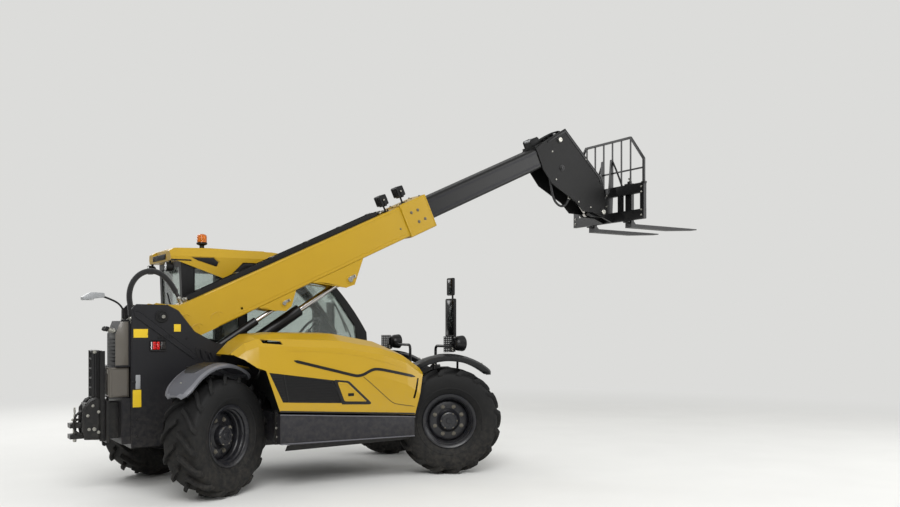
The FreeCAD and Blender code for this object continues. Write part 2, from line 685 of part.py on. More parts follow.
def cab_frame():
    post = CAB_POST
    outer = cab_face(0, CAB_IN_Y, CAB_OUT_Y).cut(cab_step(0))
    inner = cab_face(post, CAB_IN_Y + post, CAB_OUT_Y - post).cut(cab_step(post))
    shell = outer.cut(inner)
    shell = shell.cut(window_cuts(0))
    shell = shell.cut(door_face(-DOOR_GAP, CAB_OUT_Y - post - 10, CAB_OUT_Y + 20))
    lugs = [hinge_lug(z, -1) for z in DOOR_HINGE_ZS]
    return fuse([clear_wheels(shell, 1)] + lugs)


def hinge_lug(z, side):
    x0, x1 = sorted((DOOR_REAR_X + side * 44, DOOR_REAR_X + side * 7))
    low = z if side < 0 else z + 30 + SEAT
    eye = rod((DOOR_REAR_X, DOOR_HINGE_Y, low), (DOOR_REAR_X, DOOR_HINGE_Y, low + 30), 8)
    leaf = box(x0, x1, CAB_OUT_Y - 1, CAB_OUT_Y + 12, low, low + 30)
    xs = sorted((x1 if side < 0 else x0, DOOR_REAR_X))
    arm = box(*xs, DOOR_HINGE_Y - 5, DOOR_HINGE_Y + 4, low, low + 30)
    return leaf.fuse([arm, eye])


def cab_roof():
    y0 = CAB_IN_Y - 20
    y1 = CAB_OUT_Y + 5
    low = CAB_ROOF_Z + SEAT
    nose = CAB_NOSE_X
    outline = [(-60, low), (-70, ROOF_TOP_Z - 40), (-20, ROOF_TOP_Z - 10), (300, ROOF_TOP_Z),
               (nose - 990, ROOF_TOP_Z - 15), (nose - 570, ROOF_TOP_Z - 70), (nose - 490, low + 5),
               (nose - 500, low)]
    cap = plate_xz(outline, y0, y1)
    top = ROOF_TOP_Z + 1
    slopes = [plate_yz([(y, low + 40), (y - s, low + 40), (y - s, top), (y + s * 55, top)], -100, CAB_NOSE_X)
              for y, s in ((y0, 1), (y1, -1))]
    notch = box(-80, -36, y0 + 150, y1 - 150, low + 30, ROOF_TOP_Z + 1)
    cap = cap.cut(slopes + [notch])
    flap = plate_xz([(-40, low + 1), (0, low - 5), (420, 1832), (446, 1832), (600, low + 1)],
                    y0, CAB_IN_Y - SEAT)
    pocket = plate_xz([(113, 2021), (327, 2024), (382, 1979), (355, 1930), (176, 1985)], y0 - 1, y0 + 7)
    return fuse([cap, flap]).cut(pocket)


def cab_glass():
    parts = []
    y0 = CAB_IN_Y + 12
    y1 = CAB_OUT_Y - 12
    shell = cab_face(12, y0, y1).cut(cab_face(12 + GLASS_T, y0 + GLASS_T, y1 - GLASS_T))
    for cutter in window_cuts(-0.5):
        parts += shell.common(cutter).Solids
    return group(parts)


def door():
    frame_part = door_face(0, CAB_OUT_Y - 42, CAB_OUT_Y)
    window = door_face(60, CAB_OUT_Y - 60, CAB_OUT_Y + 10)
    window = window.common(box(0, 2000, 700, 1000, 1010, 1900))
    lower = box(DOOR_REAR_X + 70, DOOR_FRONT_X - 90, CAB_OUT_Y - 60, CAB_OUT_Y + 10, 760, 960)
    x = DOOR_FRONT_X - 150
    handle = [rod((x - 70, CAB_OUT_Y + 30, 985), (x + 70, CAB_OUT_Y + 30, 985), 9)]
    handle += [rod((x + s, CAB_OUT_Y - 1, 985), (x + s, CAB_OUT_Y + 32, 985), 8) for s in (-60, 60)]
    return fuse([frame_part.cut([window, lower])] + handle + [hinge_lug(z, 1) for z in DOOR_HINGE_ZS])


def door_glass():
    pane = door_face(60.5, CAB_OUT_Y - 26, CAB_OUT_Y - 20)
    upper = pane.common(box(0, 2000, 700, 1000, 1010.5, 1899.5))
    lower = box(DOOR_REAR_X + 70.5, DOOR_FRONT_X - 90.5, CAB_OUT_Y - 26, CAB_OUT_Y - 20, 760.5, 959.5)
    return group([upper, lower])


def cab_interior():
    y = (CAB_IN_Y + CAB_OUT_Y) / 2
    floor = CAB_FLOOR_Z + CAB_POST + SEAT
    ledge = FRAME_TOP_MID + CAB_POST + 2 * SEAT
    base = box(685, 980, y - 170, y + 170, floor, 961)
    cushion = round_box(690, 1090, y - 245, y + 245, 960, 1070, 30, V(0, 1, 0))
    back = plate_xz([(650, 1000), (730, 1000), (730, 1071), (640, 1640), (560, 1640), (540, 1500)],
                    y - 235, y + 235)
    back = back.cut(box(0, 700, CAB_IN_Y, CAB_OUT_Y, 0, CAB_SILL_Z + CAB_POST + 10))
    nose = CAB_NOSE_X
    dash = plate_xz([(nose - 290, floor), (nose - 330, 1180), (nose - 290, 1230), (nose - 190, 1200),
                     (nose - 170, 1160), (nose - 170, floor)],
                    CAB_IN_Y + CAB_POST + 15, CAB_OUT_Y - CAB_POST - 15)
    dash = dash.cut(box(nose - 390, nose - 90, 0, FRAME_HALF_W + CAB_POST + 10, 0, ledge))
    hub = (nose - 480, y, 1338)
    column = rod((nose - 280, y, 1182), hub, 24)
    ring = Part.makeCylinder(182, 22, V(0, 0, -11)).cut(Part.makeCylinder(158, 40, V(0, 0, -20)))
    spokes = [box(-160, 160, -14, 14, -6, 6), box(-14, 14, -160, 160, -6, 6)]
    wheel = ring.fuse(spokes)
    wheel.Placement = FreeCAD.Placement(V(*hub), FreeCAD.Rotation(V(0, 0, 1), V(-200, 0, 156)))
    arm = round_box(760, 1150, CAB_IN_Y + CAB_POST + 5, CAB_IN_Y + 120, 1000, 1100, 20, V(0, 1, 0))
    leg = box(800, 1100, CAB_IN_Y + CAB_POST + 5, CAB_IN_Y + 110, ledge, 1001)
    return group([fuse([base, cushion, back]), fuse([dash, column, wheel]), fuse([arm, leg])])


# Boom
# Round recesses and one hole in both sides of the outer boom: columns u, v, depth, radius
BOOM_SIDE_HOLES = [(175.0, -104.0, 3.0, 20.0), (244.0, -222.0, 3.0, 20.0), (447.0, -201.0, 3.0, 20.0),
                   (680.0, -234.0, 9.0, 11.0)]


def boom():
    y0 = BOOM_Y - BOOM_W / 2
    y1 = BOOM_Y + BOOM_W / 2
    tube_out = round_box(120, BOOM_FRONT, y0, y1, BOOM_BOTTOM, BOOM_TOP, 14, V(1, 0, 0))
    w = BOOM_WALL
    bore = box(EXT_REAR - RETRACT - 35, COLLAR_FRONT + 1, y0 + w, y1 - w, BOOM_BOTTOM + w, BOOM_TOP - w)
    collar = round_box(BOOM_FRONT - 1, COLLAR_FRONT, y0 - 12, y1 + 12, BOOM_BOTTOM - 18, BOOM_TOP + 12, 14,
                       V(1, 0, 0))
    body = fuse([tube_out, collar]).cut(bore)
    side = [(-120, 60), (-60, 112), (20, 116), (90, 70), (200, BOOM_TOP - 1), (420, BOOM_TOP - 1),
            (420, BOOM_BOTTOM + 1), (250, BOOM_BOTTOM + 1), (60, -110), (-60, -110), (-120, -40)]
    cheeks = [plate_xz(side, a, a + w) for a in (y0, y1 - w)]
    hub = rod((0, TOWER_OUT_R + TOWER_PLATE + SEAT, 0), (0, y1 + TOWER_GAP - SEAT, 0), 62)
    first = [(830, BOOM_BOTTOM + 2), (880, -320), (965, -385), (1050, -428), (1110, -412),
             (1215, BOOM_BOTTOM + 2)]
    second = [(1400, BOOM_BOTTOM + 2), (1520, -350), (1700, -478), (1785, -486), (1975, BOOM_BOTTOM + 2)]
    ears = []
    for outline, t in ((first, 12), (second, 14)):
        ears += [plate_xz(outline, y0, y0 + t), plate_xz(outline, y1 - t, y1)]
    u, v = LIFT_EYE_UV
    pins = [rod((u, y0 - 6, v), (u, LIFT_Y - 36, v), LIFT_PIN_R),
            rod((u, LIFT_Y + 36, v), (u, y1 + 6, v), LIFT_PIN_R)]
    u, v = COMP_EYE_UV
    pins.append(rod((u, y0 - 6, v), (u, y1 + 6, v), COMP_PIN_R))
    shape = fuse([body] + cheeks + [hub] + ears + pins)
    cuts = [rod((0, y0 - 20, 0), (0, y1 + 20, 0), PIVOT_PIN_R + PIN_GAP)]
    for u, v, depth, radius in BOOM_SIDE_HOLES:
        cuts += [rod((u, y0 - 1, v), (u, y0 + depth, v), radius), rod((u, y1 + 1, v), (u, y1 - depth, v), radius)]
    return to_machine(shape.cut(cuts))


def boom_tray():
    """The channel along the boom's top with the pipes that feed the head."""
    y0 = HOSE_Y - TRAY_W / 2
    y1 = HOSE_Y + TRAY_W / 2
    low = BOOM_TOP + SEAT
    high = low + TRAY_H
    floor = low + TRAY_T
    section = [(y0, low), (y1, low), (y1, high), (y1 - TRAY_T, high), (y1 - TRAY_T, floor),
               (y0 + TRAY_T, floor), (y0 + TRAY_T, high), (y0, high)]
    parts = [plate_yz(section, *TRAY_ENDS)]
    for i in range(TRAY_PIPES):
        y = y0 + TRAY_W * (i + 1) / (TRAY_PIPES + 1)
        z = floor + TRAY_PIPE_R - 0.5
        parts.append(rod((TRAY_ENDS[0] - 12, y, z), (TRAY_ENDS[1] + 40, y, z), TRAY_PIPE_R))
    return to_machine(fuse(parts))


def extension():
    y0 = BOOM_Y - EXT_W / 2
    y1 = BOOM_Y + EXT_W / 2
    outer = round_box(EXT_REAR, EXT_FRONT, y0, y1, EXT_BOTTOM, EXT_TOP, 26, V(1, 0, 0))
    w = EXT_WALL
    inner = box(EXT_REAR - 10, EXT_FRONT - 200, y0 + w, y1 - w, EXT_BOTTOM + w, EXT_TOP - w)
    shell = outer.cut(inner)
    pads = []
    top_gap = BOOM_TOP - BOOM_WALL - PAD_GAP
    low_gap = BOOM_BOTTOM + BOOM_WALL + PAD_GAP
    side = BOOM_W / 2 - BOOM_WALL - PAD_GAP
    pads.append(box(EXT_REAR + 20, EXT_REAR + 160, BOOM_Y - 55, BOOM_Y + 70, EXT_TOP - 1, top_gap))
    pads.append(box(EXT_REAR + 20, EXT_REAR + 160, BOOM_Y - 55, BOOM_Y + 70, low_gap, EXT_BOTTOM + 1))
    pads.append(box(EXT_REAR + 20, EXT_REAR + 160, BOOM_Y - side, y0 + 1, -180, -70))
    pads.append(box(EXT_REAR + 20, EXT_REAR + 160, y1 - 1, BOOM_Y + side, -180, -70))
    return to_machine(fuse([shell] + pads))


HEAD_OUTLINE = [(4436.0, -12.0), (4600.0, 20.0), (4920.0, 52.0), (5190.0, -620.0), (5190.0, -700.0),
                (5110.0, -1000.0), (5052.0, -1050.0), (4995.0, -1020.0), (4900.0, -940.0), (4777.0, -880.0),
                (4716.0, -732.0),
                (4488.0, -440.0), (4436.0, -252.0)]


def head():
    y_in = EXT_W / 2
    y_out = y_in + HEAD_PLATE
    plates = [plate_xz(HEAD_OUTLINE, *sorted((BOOM_Y + s * y_in, BOOM_Y + s * y_out))) for s in (-1, 1)]
    web = plate_xz([(4600, -20), (4620, 8), (4900, 30), (5160, -610), (5135, -620), (4880, 0), (4640, -18)],
                   BOOM_Y - y_in - 1, BOOM_Y + y_in + 1)
    u, v = xz_to_uv(*TILT_PIN)
    pins = []
    for (pu, pv), r, past in (((u, v), HEAD_PIN_R, 12), (TILT_BASE_UV, BASE_PIN_R, 8), ((4791, -37), 26, 10)):
        pins.append(rod((pu, BOOM_Y - y_out - past, pv), (pu, BOOM_Y + y_out + past, pv), r))
    u, v = PORT_UV
    port = rod((u, BOOM_Y - y_in - 1, v), (u, HEAD_HOSE_Y + HEAD_HOSE_R, v), PORT_R)
    bridge = box(4440, 4610, BOOM_Y - y_in - 1, BOOM_Y + y_in + 1, EXT_TOP, 12)
    guide = box(4440, 4560, BOOM_Y - 60, BOOM_Y + 60, 11, 62)
    return to_machine(fuse(plates + [web, bridge, guide, port] + pins))


# Cylinders: columns barrel radius, rod radius, barrel length, rod's start, base eye radius, half eye width,
# base eye's hole, rod's eye radius, rod's eye hole. The lift and tilt rods have no pin in their eyes and the
# compensating cylinder has none in its barrel's, because their linkages are opened there
CYLINDERS = {
    "lift": (LIFT_BARREL_R, LIFT_ROD_R, 1250.0, 600.0, 46.0, 34.0, LIFT_PIN_R + PIN_GAP, 36.0, LIFT_PIN_R),
    "comp": (COMP_BARREL_R, COMP_ROD_R, 626.0, 302.0, 34.0, 27.0, COMP_PIN_R, 30.0, COMP_PIN_R + PIN_GAP),
    "tilt": (TILT_BARREL_R, TILT_ROD_R, 434.0, 240.0, 36.0, 22.0, BASE_PIN_R + PIN_GAP, 32.0, TILT_PIN_R)}


def tilt_lever():
    return (TILT_PIN[0] + TILT_LEVER[0], TILT_PIN[1] + TILT_LEVER[1])


def cylinder(base, tip, y, row):
    barrel_r, rod_r, barrel_len, stem_start, eye_r, eye_half, base_hole_r, tip_r, tip_hole_r = row
    a = V(base[0], y, base[1])
    b = V(tip[0], y, tip[1])
    d = (b - a)
    length = d.Length
    d.normalize()
    start = eye_r - 6
    barrel = Part.makeCylinder(barrel_r, barrel_len - start, a + d * start, d)
    bore = Part.makeCylinder(rod_r + PAD_GAP, barrel_len - start - 30, a + d * (start + 40), d)
    eye = rod((base[0], y - eye_half, base[1]), (base[0], y + eye_half, base[1]), eye_r)
    hole = rod((base[0], y - 200, base[1]), (base[0], y + 200, base[1]), base_hole_r)
    barrel = fuse([barrel, eye]).cut([bore, hole])
    stem = Part.makeCylinder(rod_r, length - stem_start - tip_r + 8, a + d * stem_start, d)
    tip_eye = rod((tip[0], y - eye_half + 4, tip[1]), (tip[0], y + eye_half - 4, tip[1]), tip_r)
    tip_hole = rod((tip[0], y - 200, tip[1]), (tip[0], y + 200, tip[1]), tip_hole_r)
    return barrel, fuse([stem, tip_eye]).cut(tip_hole)


def carriage():
    t, h = CARRIAGE_BAR
    x0 = CARRIAGE_X
    y0 = BOOM_Y - CARRIAGE_HALF_W
    y1 = BOOM_Y + CARRIAGE_HALF_W
    bars = [box(x0, x0 + t, y0, y1, z, z + h) for z in (CARRIAGE_LOW_Z, CARRIAGE_HIGH_Z - h)]
    px, pz = TILT_PIN
    lx, lz = tilt_lever()
    outline = [(x0 + 1, CARRIAGE_LOW_Z), (px + 30, pz - 55), (px - 20, pz - 55), (lx, lz - 34), (lx - 34, lz),
               (lx, lz + 34), (px - 10, pz + 60), (x0 - 40, CARRIAGE_HIGH_Z - 60), (x0 - 10, 3330),
               (x0 + 20, 3340), (x0 + 20, CARRIAGE_HIGH_Z)]
    ears = []
    for s in (-1, 1):
        inner = BOOM_Y + s * EAR_IN
        outer = BOOM_Y + s * EAR_OUT
        ears.append(plate_xz(outline, *sorted((inner, outer))))
        ears.append(rod((px, inner, pz), (px, BOOM_Y + s * (EXT_W / 2 - SEAT), pz), 46))
        ears.append(rod((lx, outer, lz), (lx, BOOM_Y + s * 24, lz), TILT_PIN_R))
    struts = [box(x0 + 1, x0 + t - 1, y, y + 60, CARRIAGE_LOW_Z + h - 1, CARRIAGE_HIGH_Z - h + 1)
              for y in (y0, BOOM_Y - 240, BOOM_Y + 180, y1 - 60)]
    shape = fuse(bars + ears + struts + load_guard())
    return shape.cut(rod((px, BOOM_Y - 300, pz), (px, BOOM_Y + 300, pz), HEAD_PIN_R + PIN_GAP))


def load_guard():
    b = GUARD_BAR
    x = CARRIAGE_X + 2
    y0 = BOOM_Y - CARRIAGE_HALF_W
    y1 = BOOM_Y + CARRIAGE_HALF_W
    low = CARRIAGE_HIGH_Z - 1
    top = CARRIAGE_HIGH_Z + GUARD_RISE
    shoulder = top - GUARD_SLANT
    flat = (BOOM_Y - GUARD_FLAT, BOOM_Y + GUARD_FLAT)
    outline = [(y0, low), (y0, shoulder), (flat[0], top), (flat[1], top), (y1, shoulder), (y1, low)]
    inner = [(y0 + b, low - 50), (y0 + b, shoulder - b * 0.4), (flat[0] + b * 0.4, top - b),
             (flat[1] - b * 0.4, top - b), (y1 - b, shoulder - b * 0.4), (y1 - b, low - 50)]
    parts = [plate_yz(outline, x, x + b).cut(plate_yz(inner, x - 1, x + b + 1))]
    pitch = (flat[1] - flat[0] - b) / (GUARD_BARS - 1)
    for i in range(GUARD_BARS):
        y = flat[0] + i * pitch
        parts.append(box(x + 4, x + b - 4, y, y + b / 2, low, top - 1))
    parts.append(box(x + 4, x + b - 4, y0 + 1, y1 - 1, low + 160, low + 176))
    return parts


def forks():
    t = CARRIAGE_BAR[0]
    x0 = CARRIAGE_X + t + SEAT
    shapes = []
    for s in (-1, 1):
        y = BOOM_Y + s * FORK_SPREAD
        y0 = y - FORK_W / 2
        y1 = y + FORK_W / 2
        blade = [(x0, FORK_BOTTOM_Z), (x0 + FORK_LEN * 0.6, FORK_BOTTOM_Z),
                 (x0 + FORK_LEN, FORK_BOTTOM_Z + FORK_T - 12),
                 (x0 + FORK_LEN, FORK_BOTTOM_Z + FORK_T), (x0 + FORK_T + 30, FORK_BOTTOM_Z + FORK_T),
                 (x0 + FORK_T, FORK_BOTTOM_Z + FORK_T + 30), (x0 + FORK_T, CARRIAGE_HIGH_Z + 20),
                 (x0, CARRIAGE_HIGH_Z + 20)]
        blade_shape = plate_xz(blade, y0, y1)
        hook = box(x0 - 13, x0 + 1, y0, y1, CARRIAGE_HIGH_Z + SEAT, CARRIAGE_HIGH_Z + 20)
        shapes.append(fuse([blade_shape, hook]))
    return group(shapes)


# Lamps and mirrors
def lamps():
    parts = []
    for s in (-1, 1):
        y = s * LAMP_Y
        post = rod((LAMP_X, s * 250, FRAME_TOP_FRONT + 10 + SEAT), (LAMP_X, s * 250, 1216), 20)
        bar = rod((LAMP_X, s * 250, 1196), (LAMP_X, y, 1196), 14)
        lamp = round_box(LAMP_X - 30, LAMP_X + 50, *sorted((y - 60, y + 60)), 1206, 1300, 14, V(1, 0, 0))
        parts.append(fuse([post, bar, lamp]))
    for y in (CAB_IN_Y + 60, CAB_OUT_Y - 60):
        lamp = rod((-90, y, 1930), (-20, y, 1930), 42)
        parts.append(lamp.fuse(box(-60, -40, y - 10, y + 10, 1960, CAB_ROOF_Z)))
    base = rod((330, 500, ROOF_TOP_Z + SEAT), (330, 500, ROOF_TOP_Z + 70), 30)
    parts.append(base.fuse(rod((330, 500, ROOF_TOP_Z + 69), (330, 500, ROOF_TOP_Z + 160), 48)))
    y = REAR_LAMP_Y
    z = PANEL_TOP_Z + 210
    arm = rod((FRAME_REAR_X - 36, y, PANEL_TOP_Z + 10), (-700, y, z - 6), 9)
    foot = box(FRAME_REAR_X - 66, FRAME_REAR_X - 6, y - 28, y + 28, PANEL_TOP_Z + SEAT, PANEL_TOP_Z + 20)
    outline = [(-850, z - 46), (-860, z - 20), (-800, z + 22), (-690, z + 22), (-690, z - 22), (-760, z - 30)]
    shade = plate_xz(outline, y - 60, y + 60)
    parts.append(fuse([arm, foot, shade]))
    left = BOOM_Y + BOOM_W / 2 + TOWER_GAP + TOWER_PLATE
    parts.append(box(-330, -210, TOWER_OUT_R - 22, TOWER_OUT_R - SEAT, 1195, 1270))
    parts.append(box(-330, -210, left + SEAT, left + 22, 1195, 1270))
    return group(parts)


def mirror_pair(x, y):
    """A large and a small mirror, one over the other on a stem."""
    stem = rod((x, y, 1230), (x, y, 1850), 9)
    large = round_box(x - 35, x - 5, y - 85, y + 85, 1290, 1660, 12, V(1, 0, 0))
    small = round_box(x - 35, x - 5, y - 60, y + 60, 1690, 1860, 12, V(1, 0, 0))
    return [stem, large, small]


def mirrors():
    x = LAMP_X - 40
    right = box(x - 14, LAMP_X - 30 - SEAT, -LAMP_Y - 20, -LAMP_Y + 20, 1220, 1246)
    face = CAB_NOSE_X + 10
    foot = [(face - 10 * (z - CAB_SILL_Z) / (CAB_BEND_Z - CAB_SILL_Z) + SEAT, z) for z in (1190.0, 1260.0)]
    left = plate_xz(foot + [(face + 24, 1260), (face + 24, 1190)], CAB_OUT_Y - 90, CAB_OUT_Y - 10)
    arm = rod((face + 14, CAB_OUT_Y - 50, 1238), (face + 14, CAB_MIRROR_Y, 1238), 9)
    return group([fuse([right] + mirror_pair(x, -LAMP_Y)),
                  fuse([left, arm] + mirror_pair(face + 14, CAB_MIRROR_Y))])


def boom_lamps():
    y0 = BOOM_Y - 60
    parts = []
    for u, y in ((2440, y0), (2660, y0 + 10)):
        top = BOOM_TOP if u < BOOM_FRONT else BOOM_TOP + 12
        stem = rod((u, y, top + 0.3), (u, y, top + 70), 9)
        lamp = round_box(u - 40, u + 40, y - 55, y + 55, top + 69, top + 170, 12, V(0, 1, 0))
        parts.append(to_machine(fuse([stem, lamp])))
    return group(parts)


# The hose that arches from a shelf on the tower's back plate to the boom's top: stations X, Z
HOSE_ROUTE = [(-449.0, 1420.3), (-449.0, 1540.0), (-467.8, 1659.3), (-441.2, 1766.0), (-376.9, 1842.6),
              (-292.3, 1873.4), (-204.3, 1854.7), (-131.5, 1789.1), (-70.6, 1691.6), (-26.2, 1596.4)]
HOSE_R = 16.0
HOSE_Y = -90.0


def corner_arc(a, p, b):
    da = a - p
    db = b - p
    run = min(da.Length, db.Length)
    turn = math.pi - da.getAngle(db)
    radius = 0.45 * run / math.tan(turn / 2)
    cut = 0.45 * run
    da.normalize()
    db.normalize()
    start = p + da * cut
    end = p + db * cut
    bis = da + db
    bis.normalize()
    centre = p + bis * math.sqrt(radius ** 2 + cut ** 2)
    mid = centre - bis * radius
    return start, mid, end, radius


def route_tube(points, radius, label):
    edges = []
    last = points[0]
    radii = []
    for a, p, b in zip(points, points[1:], points[2:]):
        start, mid, end, bend = corner_arc(a, p, b)
        edges.append(Part.LineSegment(last, start).toShape())
        edges.append(Part.Arc(start, mid, end).toShape())
        radii.append(round(bend))
        last = end
    edges.append(Part.LineSegment(last, points[-1]).toShape())
    path = Part.Wire(edges)
    first = points[1] - points[0]
    ring = Part.Wire([Part.makeCircle(radius, points[0], first)])
    print(label, "length", round(path.Length), "bend radii", radii)
    return path.makePipeShell([ring], True, False)


# The hose that hangs under the head, from the extension's underside to a port inside the head: stations X, Z
HEAD_HOSE_ROUTE = [(3967.0, 3173.6), (4007.0, 3087.0), (4034.0, 2983.0), (4052.0, 2876.0), (4092.0, 2779.0),
                   (4180.0, 2727.0), (4268.0, 2764.0), (4304.0, 2856.0)]
HEAD_HOSE_R = 13.0
HEAD_HOSE_Y = -152.0
PORT_UV = (4720.0, -640.0)
PORT_R = 17.0


def head_hose():
    return route_tube([V(x, HEAD_HOSE_Y, z) for x, z in HEAD_HOSE_ROUTE], HEAD_HOSE_R, "head_hose")


def hose_loop():
    return route_tube([V(x, HOSE_Y, z) for x, z in HOSE_ROUTE], HOSE_R, "hose_loop")


def build_nodes():
    nodes = {}
    nodes["chassis_frame"] = fuse([frame()] + lift_pedestal())
    nodes["boom_tower"] = tower()
    nodes["rear_housing"] = rear_housing()
    nodes["tow_hitch"] = tow_hitch()
    nodes["rear_axle"] = axle(0)
    nodes["front_axle"] = axle(WHEELBASE)
    nodes["engine_block"] = engine()
    nodes["side_tank"] = side_tank()
    nodes["left_sill"] = left_sill()
    nodes["cab_frame"] = cab_frame()
    nodes["cab_roof"] = cab_roof()
    nodes["cab_glass"] = cab_glass()
    nodes["cab_door"] = door()
    nodes["door_glass"] = door_glass()
    nodes["cab_interior"] = cab_interior()
    nodes["lamps"] = lamps()
    nodes["mirrors"] = mirrors()
    nodes["hose_loop"] = hose_loop()
    nodes["engine_hood"] = hood()
    nodes["hood_grille"] = grille()
    base_tyre = tyre()
    base_rim = rim()
    axles = (("rear", 0.0, STEER_REAR, 1), ("front", WHEELBASE, STEER_FRONT, -1))
    for axle_name, axle_x, steer, arm_dir in axles:
        base_knuckle = knuckle(arm_dir)
        base_fender = fender(axle_name)
        for side_name, side in (("right", -1), ("left", 1)):
            tag = axle_name + "_" + side_name
            for kind, shape in (("tyre", base_tyre), ("rim", base_rim), ("knuckle", base_knuckle),
                                ("fender", base_fender)):
                nodes[kind + "_" + tag] = place_corner(shape, axle_x, side, steer)
        nodes["tie_rod_" + axle_name] = tie_rod(axle_x, arm_dir, steer)
    nodes["boom_main"] = boom()
    nodes["boom_tray"] = boom_tray()
    nodes["boom_lamps"] = boom_lamps()
    nodes["boom_extension"] = extension()
    nodes["boom_head"] = head()
    nodes["head_hose"] = head_hose()
    ends = {"lift": (LIFT_BASE, uv_point(*LIFT_EYE_UV), LIFT_Y),
            "comp": (COMP_BASE, uv_point(*COMP_EYE_UV), COMP_Y),
            "tilt": (uv_point(*TILT_BASE_UV), tilt_lever(), BOOM_Y)}
    for tag, (base, tip, y) in ends.items():
        nodes[tag + "_barrel"], nodes[tag + "_rod"] = cylinder(base, tip, y, CYLINDERS[tag])
    nodes["fork_carriage"] = carriage()
    nodes["forks"] = forks()
    return nodes


def box_shift(shapes):
    everything = Part.makeCompound(list(shapes))
    everything.tessellate(1.0)
    limits = everything.BoundBox
    print("size", round(limits.XLength), round(limits.YLength), round(limits.ZLength))
    return V(-(limits.XMin + limits.XMax) / 2, -(limits.YMin + limits.YMax) / 2, -limits.ZMin)


def export(all_nodes, move):
    os.makedirs("parts", exist_ok=True)
    for name, shape in all_nodes.items():
        moved = shape.copy()
        moved.translate(move)
        moved.exportStep("parts/" + name + ".step")


nodes = build_nodes()
shift = box_shift(nodes.values())
export(nodes, shift)
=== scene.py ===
import bpy
import bmesh
import json
import math
from mathutils import Matrix, Vector

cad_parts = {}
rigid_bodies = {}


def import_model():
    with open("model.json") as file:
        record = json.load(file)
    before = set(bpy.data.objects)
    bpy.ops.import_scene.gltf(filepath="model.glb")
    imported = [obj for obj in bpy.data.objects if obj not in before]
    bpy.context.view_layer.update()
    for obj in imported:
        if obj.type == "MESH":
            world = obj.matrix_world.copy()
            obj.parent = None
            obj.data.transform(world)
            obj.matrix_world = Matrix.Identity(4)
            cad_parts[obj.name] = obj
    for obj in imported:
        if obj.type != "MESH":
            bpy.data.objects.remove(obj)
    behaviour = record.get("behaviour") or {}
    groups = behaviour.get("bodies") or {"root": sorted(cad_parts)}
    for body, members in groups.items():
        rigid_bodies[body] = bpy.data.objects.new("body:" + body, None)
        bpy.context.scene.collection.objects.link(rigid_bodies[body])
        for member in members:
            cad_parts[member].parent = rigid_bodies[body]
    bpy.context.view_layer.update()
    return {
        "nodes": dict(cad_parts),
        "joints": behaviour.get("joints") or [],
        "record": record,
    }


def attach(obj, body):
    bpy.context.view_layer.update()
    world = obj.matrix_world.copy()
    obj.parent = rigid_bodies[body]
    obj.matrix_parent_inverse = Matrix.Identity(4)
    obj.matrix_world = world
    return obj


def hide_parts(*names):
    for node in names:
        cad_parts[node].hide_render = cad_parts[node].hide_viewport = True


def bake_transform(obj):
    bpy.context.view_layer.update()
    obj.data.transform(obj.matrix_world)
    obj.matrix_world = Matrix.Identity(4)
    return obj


# Compact telehandler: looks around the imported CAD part. X forward, Y left, Z up.
# Tables are in millimetres: on the machine from the rear axle's middle on the ground, on the boom
# from its pivot pin (along, across, square to it), and on a wheel from its own middle.

MM = 0.001
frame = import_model()
scene = bpy.context.scene
NODES = frame["nodes"]
JOINTS = {j["name"]: j for j in frame["joints"]}
BOOM_PIN = Vector(JOINTS["boom_lift"]["pos_m"])
PIN_FROM_AXLE = -0.240
ZERO_X = BOOM_PIN.x - PIN_FROM_AXLE
BOOM_PITCH = math.radians(24.93)
BOOM_Y = -77.5
MACHINE = Matrix.Translation((ZERO_X, 0.0, 0.0))
BOOM = Matrix.Translation((BOOM_PIN.x, 0.0, BOOM_PIN.z)) @ Matrix.Rotation(-BOOM_PITCH, 4, "Y")
CORNERS = ("rear_right", "rear_left", "front_right", "front_left")


def wheel_place(corner):
    joint = JOINTS["spin_" + corner]
    axis = Vector(joint["axis"])
    if axis.y < 0:
        axis = -axis
    return Matrix.Translation(joint["pos_m"]) @ Matrix.Rotation(math.atan2(-axis.x, axis.y), 4, "Z")


def spot(x, y, z):
    """A place on the machine, from millimetres to the part's metres."""
    return MACHINE @ (Vector((x, y, z)) * MM)


# ---------------------------------------------------------------- camera

def make_camera():
    bpy.ops.object.camera_add(location=spot(-2156, -7847, 1409))
    camera = bpy.context.object
    camera.name = "Camera"
    camera.rotation_euler = (math.radians(90), 0, math.radians(-32.30))
    camera.data.sensor_width = 36.0
    camera.data.lens = 35.28
    camera.data.shift_y = 0.079
    camera.data.clip_end = 400.0
    scene.camera = camera


make_camera()

# ---------------------------------------------------------------- finishes


def colour(text):
    """An sRGB hex value as linear numbers."""
    parts = [int(text[i:i + 2], 16) / 255 for i in (0, 2, 4)]
    linear = [c / 12.92 if c <= 0.04045 else ((c + 0.055) / 1.055) ** 2.4 for c in parts]
    return (*linear, 1.0)


def add(tree, kind, settings, links=()):
    """Adds a node, sets its values or inputs and joins its inputs."""
    made = tree.nodes.new("ShaderNode" + kind)
    for key, value in settings.items():
        if isinstance(key, int) or key in made.inputs:
            made.inputs[key].default_value = value
        else:
            setattr(made, key, value)
    for key, source in links:
        tree.links.new(source, made.inputs[key])
    return made


def new_material(name):
    made = bpy.data.materials.new(name)
    made.use_nodes = True
    tree = made.node_tree
    return made, tree, tree.nodes["Principled BSDF"]


